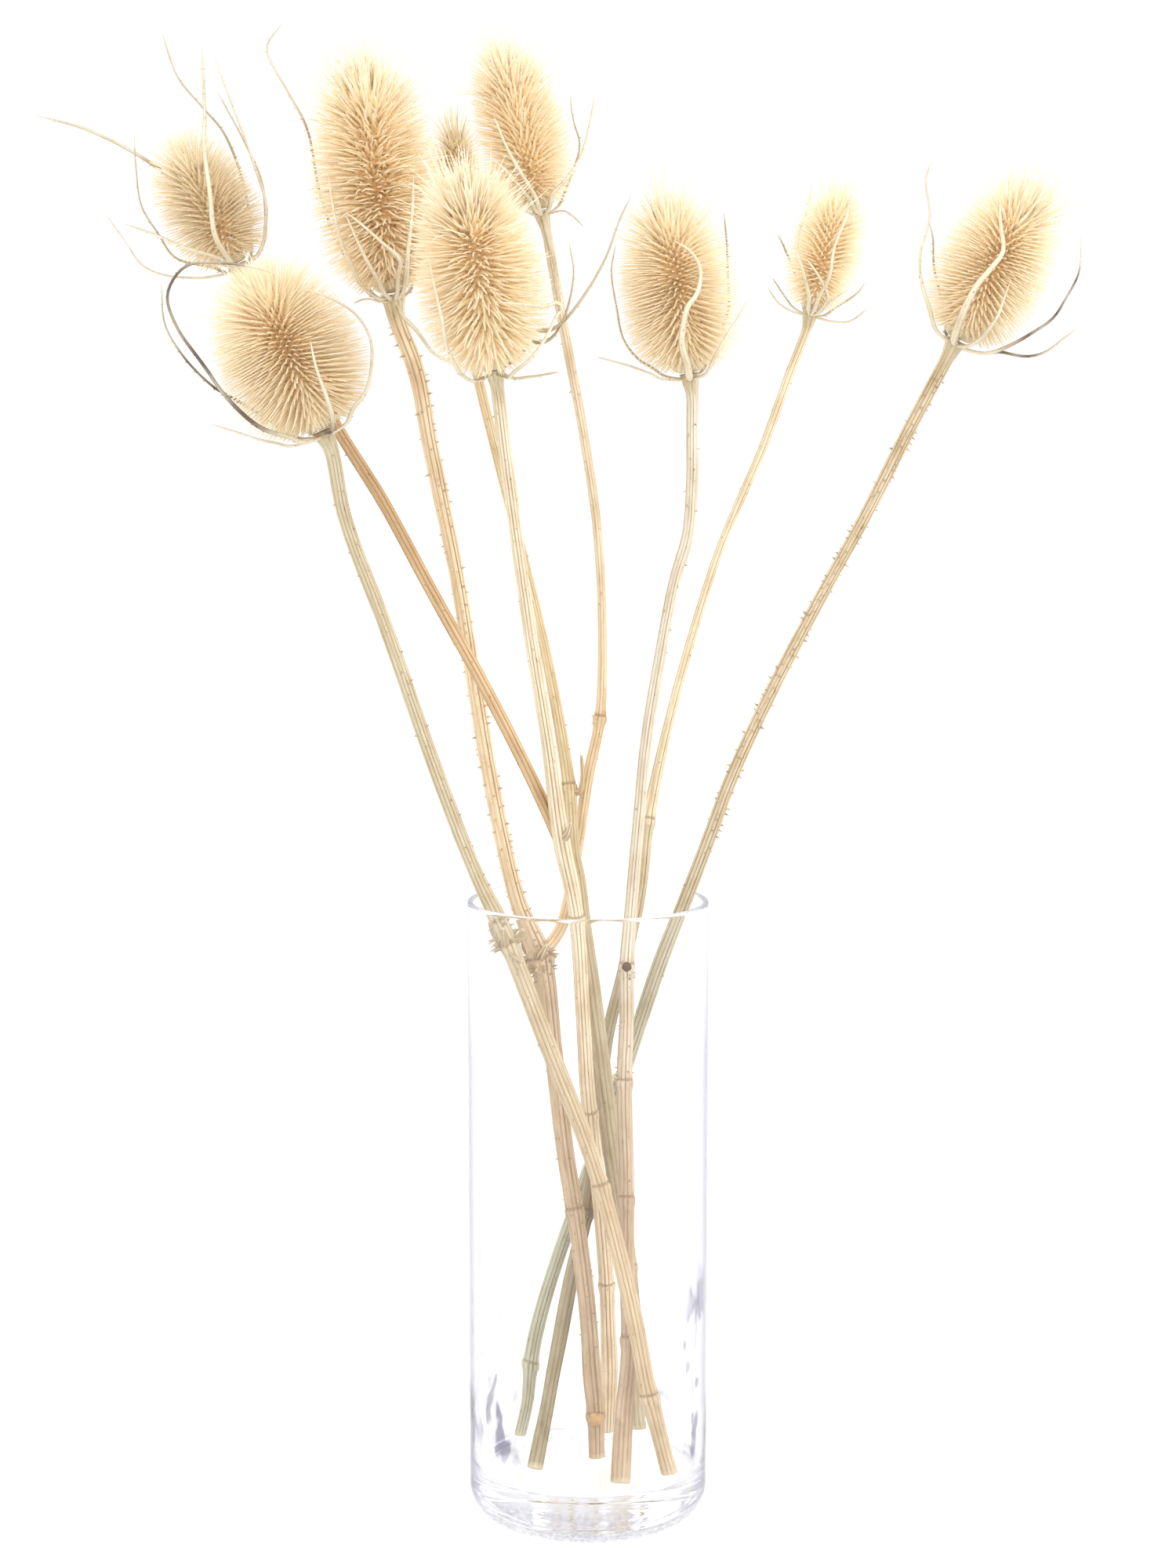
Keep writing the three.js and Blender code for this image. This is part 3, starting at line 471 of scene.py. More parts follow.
class Skin:
    """Points and faces of one piece, with each point's colour and its place in the grain."""

    def __init__(self):
        self.points = []
        self.tints = []
        self.grains = []
        self.faces = []
        self.finishes = []
        self.count = 0

    def add(self, points, faces, tints, grains=None, finish=0):
        points = points.reshape(-1, 3)
        self.points.append(points)
        self.tints.append(np.broadcast_to(tints, points.shape))
        self.grains.append(points if grains is None else grains.reshape(-1, 3))
        for group in faces:
            rows = (group + self.count).tolist()
            self.faces.extend(rows)
            self.finishes.extend([finish] * len(rows))
        self.count += len(points)

    def build(self, name, materials, smooth):
        mesh = bpy.data.meshes.new(name)
        mesh.from_pydata(np.vstack(self.points), [], self.faces)
        tints = np.vstack(self.tints)
        colours = np.hstack([tints, np.ones((len(tints), 1))])
        mesh.attributes.new("tint", "FLOAT_COLOR", "POINT").data.foreach_set("color", colours.ravel())
        grains = np.vstack(self.grains)
        mesh.attributes.new("grain", "FLOAT_VECTOR", "POINT").data.foreach_set("vector", grains.ravel())
        mesh.polygons.foreach_set("material_index", self.finishes)
        mesh.polygons.foreach_set("use_smooth", [smooth] * len(self.faces))
        for material in materials:
            mesh.materials.append(material)
        return placed(name, mesh)


def ring_faces(rings, sides):
    """Quads between rings of equally many points, and a flat fan over each end."""
    ring, side = np.meshgrid(np.arange(rings - 1), np.arange(sides), indexing="ij")
    here = (ring * sides + side).ravel()
    beside = (ring * sides + (side + 1) % sides).ravel()
    quads = np.stack([here, beside, beside + sides, here + sides], axis=1)
    first = np.arange(sides)[::-1][None]
    last = ((rings - 1) * sides + np.arange(sides))[None]
    return [quads, first, last]


def curve_through(points, pieces):
    """Centripetal Catmull-Rom curve with the same number of pieces between all points."""
    padded = np.vstack([2 * points[0] - points[1], points, 2 * points[-1] - points[-2]])
    steps = np.linspace(0, 1, pieces, endpoint=False)[:, None]
    rows = []
    for before, start, end, after in zip(padded, padded[1:], padded[2:], padded[3:]):
        first, middle, last = (
            math.sqrt(np.linalg.norm(b - a)) for a, b in ((before, start), (start, end), (end, after)))
        leave = middle * ((start - before) / first - (end - before) / (first + middle)
                          + (end - start) / middle)
        arrive = middle * ((end - start) / middle - (after - start) / (middle + last)
                           + (after - end) / last)
        bend = 3 * (end - start) - 2 * leave - arrive
        twist = 2 * (start - end) + leave + arrive
        rows.append(start + leave * steps + bend * steps**2 + twist * steps**3)
    rows.append(points[-1:])
    return np.vstack(rows)


def walked_along(path):
    return np.concatenate([[0], np.cumsum(np.linalg.norm(np.diff(path, axis=0), axis=1))])


def path_at(path, walked, stops):
    return np.stack([np.interp(stops, walked, values) for values in path.T], axis=1)


def evenly(path):
    """The path again with even steps."""
    walked = walked_along(path)
    pieces = max(2, round(walked[-1] / BRACT_STEP))
    return path_at(path, walked, np.linspace(0, walked[-1], pieces + 1))


def drawn_course(points, pieces):
    """A curve through drawn points, and its radii."""
    path = curve_through(points[:, :3], pieces)
    return path, np.interp(np.arange(len(path)) / pieces, np.arange(len(points)), points[:, 3])


def loft(skin, path, sections, side, tints, finish=0):
    """Sections are (ring, point, 2) offsets along a side and an across direction.

    The two directions are carried along the path without twisting, and returned.
    """
    tangents = unit(np.gradient(path, axis=0))
    sides = []
    for tangent in tangents:
        side = unit(side - tangent * np.dot(side, tangent))
        sides.append(side)
    sides = np.array(sides)
    across = np.cross(tangents, sides)
    points = path[:, None] + sections[..., :1] * sides[:, None] + sections[..., 1:] * across[:, None]
    rise = np.broadcast_to(walked_along(path)[:, None], sections.shape[:2])
    grains = np.dstack([sections, rise])
    tints = np.broadcast_to(tints, points.shape).reshape(-1, 3)
    skin.add(points, ring_faces(*sections.shape[:2]), tints, grains, finish)
    return sides, across


# Materials


class Wiring:
    """Short calls that add nodes to one tree. An input is a value or another node's output."""

    def __init__(self, tree):
        self.nodes = tree.nodes
        self.links = tree.links

    def feed(self, node, inputs):
        for name, value in inputs.items():
            if isinstance(value, bpy.types.NodeSocket):
                self.links.new(value, node.inputs[name])
            else:
                node.inputs[name].default_value = value
        return node.outputs

    def add(self, kind, inputs=None):
        return self.feed(self.nodes.new(kind), inputs or {})

    def noise(self, place, scale, detail=4.0):
        return self.add("ShaderNodeTexNoise", {"Vector": place, "Scale": scale, "Detail": detail})["Fac"]

    def ramp(self, source, stops):
        ramp = self.nodes.new("ShaderNodeValToRGB")
        elements = ramp.color_ramp.elements
        while len(elements) < len(stops):
            elements.new(0.5)
        for element, (place, colour) in zip(elements, stops):
            element.position = place
            element.color = (*colour, 1.0)
        return self.feed(ramp, {"Fac": source})["Color"]

    def multiply(self, first, second, share=1.0):
        mix = self.nodes.new("ShaderNodeMix")
        mix.data_type = "RGBA"
        mix.blend_type = "MULTIPLY"
        return self.feed(mix, {"Factor": share, "A": first, "B": second})["Result"]

    def maths(self, operation, first, second):
        node = self.nodes.new("ShaderNodeMath")
        node.operation = operation
        return self.feed(node, {0: first, 1: second})["Value"]

    def attribute(self, name):
        node = self.nodes.new("ShaderNodeAttribute")
        node.attribute_name = name
        return node.outputs

    def stretched(self, place, along, across=1.0):
        """Coordinates squeezed along the grain, so that noise turns into long fibres."""
        return self.add("ShaderNodeMapping", {"Vector": place, "Scale": (1.0, across, along)})["Vector"]

    def bump(self, height, distance):
        inputs = {"Strength": 0.6, "Distance": distance, "Height": height}
        return self.add("ShaderNodeBump", inputs)["Normal"]


def new_material(name):
    material = bpy.data.materials.new(name)
    material.use_nodes = True
    return material, Wiring(material.node_tree), material.node_tree.nodes["Principled BSDF"]


def spine_material():
    material, tree, shader = new_material("dry_spines")
    place = tree.attribute("grain")["Vector"]
    fine = tree.noise(place, 2600.0, 2.0)
    shades = tree.ramp(tree.noise(place, 260.0), [(0.30, (0.94, 0.92, 0.88)), (0.62, WHITE)])
    flecks = tree.ramp(fine, [(0.30, (0.94, 0.91, 0.86)), (0.50, WHITE)])
    tree.feed(shader, {
        "Base Color": tree.multiply(tree.attribute("tint")["Color"], tree.multiply(shades, flecks)),
        "Subsurface Weight": 0.55,
        "Subsurface Radius": (1.0, 0.85, 0.62),
        "Subsurface Scale": 0.0012,
        "Roughness": 0.62,
        "Specular IOR Level": 0.3,
        "Normal": tree.bump(fine, 0.0001),
    })
    return material


def core_material():
    material, tree, shader = new_material("brown_core")
    crumbs = tree.noise(tree.attribute("grain")["Vector"], 900.0)
    shades = [(0.35, CORE_BROWN * 0.55), (0.55, CORE_BROWN), (0.72, SPINE_SCALE * 0.8)]
    tree.feed(shader, {
        "Base Color": tree.ramp(crumbs, shades),
        "Roughness": 0.9,
        "Normal": tree.bump(crumbs, 0.0006),
    })
    return material


def straw_material(name, fibre_scale, fibre_shade, roughness):
    """Dry plant skin: the point's own colour, long fibres, faint mottling and dark flecks."""
    material, tree, shader = new_material(name)
    grain = tree.attribute("grain")["Vector"]
    fibres = tree.noise(tree.stretched(grain, 0.03), fibre_scale, 3.0)
    mottle = tree.noise(tree.stretched(grain, 0.35), 190.0)
    flecks = tree.noise(tree.stretched(grain, 0.5), 900.0, 2.0)
    lines = tree.ramp(fibres, [(0.34, fibre_shade), (0.56, WHITE)])
    clouds = tree.ramp(mottle, [(0.28, (0.80, 0.74, 0.64)), (0.58, WHITE)])
    specks = tree.ramp(flecks, [(0.24, (0.52, 0.40, 0.28)), (0.33, WHITE)])
    shades = tree.multiply(tree.multiply(lines, clouds), specks)
    tree.feed(shader, {
        "Base Color": tree.multiply(tree.attribute("tint")["Color"], shades),
        "Roughness": roughness,
        "Specular IOR Level": 0.35,
        "Normal": tree.bump(fibres, 0.00025),
    })
    return material


def glass_painted_shade(tree):
    """Painted shade in the glass's colour: violet grey to near black where the wall is seen edge on,
    and painted wavy patches low down and painted streaks in the base.

    The shares of the three come with the points, as the parts of their grain.
    """
    shares = tree.add("ShaderNodeSeparateXYZ", {"Vector": tree.attribute("grain")["Vector"]})
    facing = tree.add("ShaderNodeLayerWeight", {"Blend": 0.5})["Facing"]
    place = tree.add("ShaderNodeTexCoord")["Object"]
    # Painted wavy patches low down in the wall
    waves = tree.noise(tree.stretched(place, 0.55), 60.0, 3.0)
    painted_patches = tree.ramp(waves, [(0.50, (0.0,) * 3), (0.60, (0.50,) * 3)])
    # Painted edge shade: darker where the wall is seen edge on
    seen = tree.maths("MULTIPLY", facing, shares["X"])
    low = tree.maths("MULTIPLY", painted_patches, shares["Y"])
    edge = tree.ramp(tree.maths("ADD", seen, low), [
        (0.50, WHITE), (0.66, (0.58, 0.58, 0.66)), (0.80, (0.15, 0.14, 0.21)), (1.0, (0.10, 0.09, 0.15))])
    # Painted streaks in the base
    painted_streaks = tree.noise(tree.stretched(place, 1.0, 0.25), 620.0, 2.0)
    shades = tree.ramp(painted_streaks, [(0.36, (0.58, 0.58, 0.64)), (0.64, (0.97, 0.97, 0.98))])
    return tree.multiply(edge, shades, shares["Z"])


def glass_material():
    """Clear glass that lets light straight through to the stems."""
    material, tree, shader = new_material("clear_glass")
    surface = tree.feed(shader, {
        # The painted shade of the edges, patches and streaks is the glass's colour
        "Base Color": glass_painted_shade(tree),
        "Roughness": 0.0,
        "IOR": 1.45,
        "Transmission Weight": 1.0,
    })["BSDF"]
    rays = tree.add("ShaderNodeLightPath")
    clear = tree.add("ShaderNodeBsdfTransparent")["BSDF"]
    for lighting in ("Is Diffuse Ray", "Is Shadow Ray"):
        inputs = {"Fac": rays[lighting], 1: surface, 2: clear}
        surface = tree.add("ShaderNodeMixShader", inputs)["Shader"]
    tinge = tree.add("ShaderNodeVolumeAbsorption", {"Color": (0.80, 0.80, 0.86, 1.0), "Density": 1.5})
    tree.feed(tree.nodes["Material Output"], {"Surface": surface, "Volume": tinge["Volume"]})
    return material


def floor_material():
    material, tree, shader = new_material("pale_floor")
    grain = tree.noise(tree.add("ShaderNodeTexCoord")["Object"], 60.0)
    shades = tree.ramp(grain, [(0.3, (0.715,) * 3), (0.7, (0.725,) * 3)])
    tree.feed(shader, {"Base Color": shades, "Roughness": 1.0, "Specular IOR Level": 0.0})
    return material


# Vase


def quarter_arc(centre_x, centre_y, radius, from_turn, to_turn, pieces):
    turns = np.linspace(from_turn, to_turn, pieces + 1) * math.pi
    return [(centre_x + radius * math.cos(turn), centre_y + radius * math.sin(turn)) for turn in turns]


def vase_profile():
    """The outline from the middle of the underside, over the rim, to the middle of the inner floor.

    Each point also says how much the glass ripples there, and its shares of painted edge shade, painted
    patches and painted streaks.
    """
    half = VASE_RIM / 2
    inner = VASE_RADIUS - VASE_WALL
    wall = np.arange(VASE_HEEL + VASE_RING_STEP, VASE_HEIGHT - 1.5 * VASE_RING_STEP, VASE_RING_STEP)
    wall = np.append(wall, VASE_HEIGHT - half - np.array(RIM_RINGS))
    corner = VASE_FLOOR + VASE_INNER_CORNER
    inside = wall[wall > corner + VASE_RING_STEP][::-1]
    outline = [(r, 0) for r in UNDERSIDE_RINGS]
    outline += quarter_arc(VASE_RADIUS - VASE_HEEL, VASE_HEEL, VASE_HEEL, -0.5, 0, 14)
    outline += [(VASE_RADIUS, z) for z in wall]
    outline += quarter_arc(VASE_RADIUS - half, VASE_HEIGHT - half, half, 0, 1, 10)
    outer_count = len(outline)
    rim_share = (inside - corner) / (VASE_HEIGHT - half - corner)
    outline += list(zip(inner + (VASE_WALL - VASE_RIM) * rim_share, inside))
    outline += quarter_arc(inner - VASE_INNER_CORNER, corner, VASE_INNER_CORNER, 0, -0.5, 5)
    outline += [(r, VASE_FLOOR) for r in FLOOR_RINGS]
    outline = np.array(outline)
    heights = outline[:, 1]
    outside = np.arange(len(outline)) < outer_count
    ripple = np.where(outside, OUTER_RIPPLE, 1.0)
    ripple *= 1 - eased(heights, 0.4 * RIPPLE_HEIGHT, RIPPLE_HEIGHT)
    ripple[heights < 0.003] = 0
    # Shares of painted shade: darker edges, wavy patches low down and streaks in the base
    edge = np.where(outside, 1.0, 0.7) * np.interp(heights, [0, 0.02, 0.20, 0.258], [0.65, 1.0, 1.0, 0.8])
    painted_patches = np.interp(heights, [0.028, 0.038, 0.070, 0.125], [0.0, 1.0, 0.9, 0.0])
    painted_streaks = np.interp(heights, [0.001, 0.003, 0.016, 0.020], [0.0, 1.0, 1.0, 0.0]) * outside
    return outline, ripple, np.stack([edge, painted_patches, painted_streaks], axis=1)


def vase_piece():
    outline, ripple, shares = vase_profile()
    turns = circle(VASE_SIDES)
    heights = outline[:, 1:]
    waves = (np.sin(5 * turns + 70 * heights) + 0.7 * np.sin(9 * turns - 110 * heights + 1.3)
             + 0.5 * np.sin(3 * turns + 190 * heights + 0.4))
    radii = outline[:, :1] + RIPPLE_DEPTH * ripple[:, None] * waves
    points = np.dstack([round_sections(radii, turns), np.broadcast_to(heights, radii.shape)])
    middle = len(FLOOR_RINGS)
    points[-middle:, :, 2] += (0.5 * RIPPLE_DEPTH * waves * np.minimum(radii / 0.03, 1))[-middle:]
    skin = Skin()
    # The grain carries each point's shares of painted shade for the glass
    skin.add(points, ring_faces(*points.shape[:2]), np.ones(3), np.repeat(shares, VASE_SIDES, axis=0))
    piece = skin.build("glass_vase", [glass_material()], True)
    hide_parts("vase")
    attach(piece, "root")


# Heads


def core_point(head, latitude):
    reach = CORE_SHARE * head["radius"] * np.sin(np.pi * latitude) ** CORE_ROUNDNESS
    height = CORE_BOTTOM + (head["length"] - CORE_TOP_DROP) * (1 - np.cos(np.pi * latitude)) / 2
    return reach, height


def tip_point(head, latitude):
    swell = np.sin(np.pi * latitude) ** TIP_ROUNDNESS * (1 + LOW_BULGE * np.cos(np.pi * latitude))
    return head["radius"] * swell, head["length"] * (1 - np.cos(np.pi * latitude)) / 2


def even_latitudes(head):
    """Root latitudes that share the core's surface out evenly, one for each spine."""
    latitudes = np.linspace(LOWEST_ROOT, HIGHEST_ROOT, 400)
    reach, height = core_point(head, latitudes)
    strips = np.hypot(np.diff(reach), np.diff(height)) * np.pi * (reach[1:] + reach[:-1])
    area = np.concatenate([[0], np.cumsum(strips)])
    count = int(area[-1] / SPINE_CELL)
    return np.interp((np.arange(count) + 0.5) / count * area[-1], area, latitudes)


def in_head(head, reach, height, turn):
    """Head coordinates to the shared frame, with turn 0 to the right and a quarter turn in front."""
    sideways = (reach * np.cos(turn))[..., None] * head["right"]
    forwards = (reach * np.sin(turn))[..., None] * head["front"]
    return head["base"] + (sideways + forwards) + height[..., None] * head["axis"]


def root_and_run(head, roots, extra_rise):
    """Where spines stand on the core, and their run from there to the head's outline."""
    root = np.array(core_point(head, roots))
    latitudes = np.linspace(0.01, 0.999, 240)
    reach, height = tip_point(head, latitudes)
    share = (root[1] - CORE_BOTTOM) / (head["length"] - CORE_TOP_DROP)
    wanted = np.radians(np.interp(share, *zip(*SPINE_RISE))) + extra_rise
    met = []
    for (root_reach, root_height), rise in zip(root.T, wanted):
        seen = np.arctan2(height - root_height, reach - root_reach)
        met.append(np.interp(rise, seen, latitudes))
    return root, np.array(tip_point(head, np.array(met))) - root


def add_spines(skin, head, root, tip, turn, tones, widths, stray, rng):
    """Hollow-backed scales at the root that run out into stiff awns."""
    count = len(turn)
    start = in_head(head, *root, turn)
    end = in_head(head, *tip, turn + TURN_STRAY * stray * rng.standard_normal(count))
    outward = unit(end - start)
    start = start - outward * ROOT_SINK
    length = np.linalg.norm(end - start, axis=1)[:, None]
    across = np.sin(turn)[:, None] * head["right"] - np.cos(turn)[:, None] * head["front"]
    up = unit(np.cross(across, outward))
    sag = (SPINE_SAG + SAG_STRAY * stray * rng.standard_normal(count))[:, None]
    sway = (SWAY_STRAY * stray * rng.standard_normal(count))[:, None]
    middle = (start + end) / 2 - up * sag * length + across * sway * length
    along = SPINE_SECTIONS[:, 0]
    share = along[:, None]
    path = ((1 - share) ** 2 * start[:, None] + 2 * share * (1 - share) * middle[:, None]
            + share**2 * end[:, None])
    tangent = unit(2 * (1 - share) * (middle - start)[:, None] + 2 * share * (end - middle)[:, None])
    edge = unit(across[:, None] - tangent * np.sum(across[:, None] * tangent, axis=2, keepdims=True))
    lift = np.cross(edge, tangent)
    wide, keel, hollow = (row[:, None] * widths[:, None, None] for row in SPINE_SECTIONS.T[1:])
    rim = SPINE_RIM * keel
    corners = np.stack([
        path + lift * hollow,
        path + edge * wide + lift * rim,
        path - lift * keel,
        path - edge * wide + lift * rim,
    ], axis=2)
    shades = mixed(SPINE_ROOT, SPINE_SCALE, eased(along, 0.00, 0.16))
    shades = mixed(shades, SPINE_PALE, eased(along, 0.10, 0.34))
    shades = mixed(shades, SPINE_TIP, eased(along, 0.50, 1.0))
    tints = shades[:, None] * tones[:, None, None, None]
    tints = np.broadcast_to(tints, corners.shape).reshape(-1, 3)
    rings, sides = corners.shape[1:3]
    offsets = (np.arange(count) * rings * sides)[:, None, None]
    faces = [(group + offsets).reshape(-1, group.shape[1]) for group in ring_faces(rings, sides)]
    skin.add(corners, faces, np.minimum(tints, SPINE_WHITEST))


def add_core(skin, head):
    reach, height = core_point(head, np.linspace(0.06, 0.98, CORE_RINGS))
    points = in_head(head, reach[:, None], height[:, None], circle(CORE_SIDES))
    skin.add(points, ring_faces(CORE_RINGS, CORE_SIDES), CORE_BROWN, finish=1)


def add_cup(skin, head):
    """The knobbly green floor of the head, where it grows on its stem."""
    rim_reach, rim_height = core_point(head, CUP_RIM_LATITUDE)
    share = np.linspace(0, 1, 7)[:, None]
    reach = CUP_REACH + (rim_reach * 1.12 - CUP_REACH) * share**0.8
    height = CUP_BOTTOM + (rim_height - CUP_BOTTOM) * share**1.6
    turns = circle(CORE_SIDES)
    knobs = 1 + 0.07 * np.cos(9 * turns + 5 * share) * np.sin(np.pi * share)
    skin.add(in_head(head, reach * knobs, height, turns), ring_faces(len(share), CORE_SIDES), CUP_GREEN)


def add_hairs(skin, head, rng):
    """Long thin spines that stand out of the top past the rest."""
    look = head["look"]
    count = look["hairs"]
    roots = rng.uniform(LOWEST_HAIR, 0.985, count)
    turn = rng.uniform(0, 2 * math.pi, count)
    root, run = root_and_run(head, roots, 0.0)
    extra = look["reach"] * rng.uniform(0.15, 1.0, count) ** 1.6
    tip = root + run * (1 + extra / np.hypot(*run))
    tones = np.full(count, look["pale"] * HAIR_TONE)
    widths = np.full(count, HAIR_WIDTH)
    add_spines(skin, head, root, tip, turn, tones, widths, 1.6 * look["stray"] + 0.8, rng)


def head_piece(name, head, materials, seed):
    look = head["look"]
    rng = np.random.default_rng(seed)
    skin = Skin()
    add_core(skin, head)
    add_cup(skin, head)
    roots = even_latitudes(head)
    count = len(roots)
    turn = np.arange(count) * GOLDEN_TURN
    rise = look["press"] * np.sin(np.pi * roots) + RISE_STRAY * look["stray"] * rng.standard_normal(count)
    root, run = root_and_run(head, roots, rise)
    tip = root + run * (1 + look["ragged"] * rng.standard_normal(count))
    tones = look["pale"] * (SPINE_TONE + TONE_STRAY * rng.standard_normal(count))
    widths = 1 + WIDTH_STRAY * rng.standard_normal(count)
    add_spines(skin, head, root, tip, turn, tones, widths, look["stray"], rng)
    add_hairs(skin, head, rng)
    piece = skin.build("spines_" + name, materials, False)
    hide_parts(name)
    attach(piece, "root")


# Bracts


def bract_reach(head, height):
    """How far a bract must stay from the head's axis at one height along it."""
    lowest_reach, lowest_height = tip_point(head, FIRST_LATITUDE)
    highest_reach, highest_height = tip_point(head, LAST_LATITUDE)
    if height < -BRACT_CLEARANCE:
        return NECK_REACH
    if height < lowest_height:
        return lowest_reach + BRACT_CLEARANCE
    if height > highest_height:
        return max(0, (highest_reach + BRACT_CLEARANCE) * (1 - (height - highest_height) / 0.006))
    latitude = math.acos(1 - 2 * height / head["length"]) / math.pi
    return tip_point(head, latitude)[0] + BRACT_CLEARANCE


def bract_path(head, drawn):
    side = BACK if drawn["side"] == BACK else FRONT
    wrapped = []
    for u, h in evenly(curve_through(drawn["course"], 24)):
        room = bract_reach(head, h) ** 2 - u**2
        depth = side * math.sqrt((room + math.hypot(room, WRAP_SOFTNESS)) / 2)
        wrapped.append((u, h, depth))
    turn = math.atan2(wrapped[0][2], wrapped[0][0])
    lowest_reach, lowest_height = tip_point(head, FIRST_LATITUDE)
    lead_in = [(BRACT_ROOT_REACH, -BRACT_ROOT_DEPTH)]
    if drawn["side"] != LOW:
        under = lowest_height - BRACT_CLEARANCE - 0.0004
        lead_in += [(0.5 * lowest_reach, -0.002), (lowest_reach, under)]
    started = [(reach * math.cos(turn), h, reach * math.sin(turn)) for reach, h in lead_in]
    points = [head["base"] + u * head["right"] + h * head["axis"] + depth * head["front"]
              for u, h, depth in started + wrapped]
    return evenly(curve_through(points, 3))


def add_bract(skin, head, index, drawn, rng):
    """Keeled blade with prickles along both edges, thinning to its tip."""
    path = bract_path(head, drawn)
    along = np.linspace(0, 1, len(path))
    closing = eased(along, BRACT_TIP_START, 1.0)
    width = drawn["width"] * (1.12 - 0.12 * along - along**1.8) + BRACT_TIP_WIDTH * along**1.8
    width = (width * (1 - closing * 0.75))[:, None]
    thick = 0.55 * drawn["width"] * (1 - along) + BRACT_TIP_THICKNESS * along
    thick = (thick * (1 - closing * 0.6))[:, None]
    ridge = np.array([0.60, 0.18, -0.40, -0.18, -0.40, 0.18])
    spread = np.array([0.0, 0.26, 0.50, 0.0, -0.50, -0.26])
    sections = np.stack([thick * ridge, width * spread], axis=2)
    stain = 0 * along
    if drawn["stain"]:
        low, high = drawn["stain"]
        patchy = 0.75 + 0.25 * np.sin(along * 31 + index)
        stain = patchy * eased(along, low, low + STAIN_BLUR) * (1 - eased(along, high - STAIN_BLUR, high))
    tints = mixed(BRACT_PALE, BRACT_STAIN, stain)[:, None]
    edge_shade = np.array([1.04, 1.0, 0.92, 0.90, 0.92, 1.0])[:, None]
    sides, across = loft(skin, path, sections, -head["axis"], tints * edge_shade, finish=1)
    for place in range(3, len(path) - 3, BRACT_PRICKLE_STEP):
        for edge in (-1, 1):
            if rng.random() < BRACT_BARE_SHARE:
                continue
            root = path[place] + across[place] * edge * width[place] * 0.42
            forward = unit(path[place + 1] - path[place])
            leaning = forward * rng.uniform(-0.2, 0.5)
            outward = unit(across[place] * edge + leaning + sides[place] * rng.uniform(-0.2, 0.4))
            reach = rng.uniform(*BRACT_PRICKLE_LENGTHS) * (1 - 0.4 * along[place])
            add_prickle(skin, root, outward, forward, reach, BRACT_PRICKLE_RADIUS, tints[place, 0], 1)


def add_prickle(skin, root, outward, lean, length, radius, colour, finish=0):
    """Small curved cone with its root inside what it grows from."""
    shares = np.array([-0.25, 0.25, 0.65, 1.0])
    path = root + shares[:, None] * length * outward + (shares**2 * 0.35 * length)[:, None] * lean
    radii = radius * np.array([1.25, 0.85, 0.45, 0.08])[:, None]
    first_side = unit(np.cross(outward, (0.31, 0.52, 0.79)))
    loft(skin, path, round_sections(radii, circle(PRICKLE_SIDES)), first_side, colour, finish)


# Stems


def full_course(course):
    """The drawn points, with a neck that runs straight into the head's axis and flares under it."""
    head = HEADS[course["head"]]
    radius = course["points"][-1][3]
    neck = [
        (NECK_LENGTH, radius),
        (BRACT_ROOT_DEPTH + NECK_SHOULDER, radius + NECK_FLARE * 0.6),
        (HEAD_GAP, radius + NECK_FLARE),
    ]
    neck = [(*(head["base"] - head["axis"] * below), reach) for below, reach in neck]
    return np.vstack([course["points"], neck])


def course_path(course):
    """Rings along a course, with more of them at its knots."""
    path, radii = drawn_course(full_course(course), 10)
    walked = walked_along(path)
    stops = [np.linspace(0, walked[-1], round(walked[-1] / STEM_RING_STEP) + 1)]
    for height, _ in course["knots"]:
        centre = np.interp(height, path[:, 2], walked)
        stops.append(centre + np.linspace(-1, 1, KNOT_RINGS) * KNOT_HALF_HEIGHT)
    stops = np.unique(np.clip(np.concatenate(stops), 0, walked[-1]))
    stops = stops[np.append(True, np.diff(stops) > 0.0001)]
    return path_at(path, walked, stops), np.interp(stops, walked, radii)


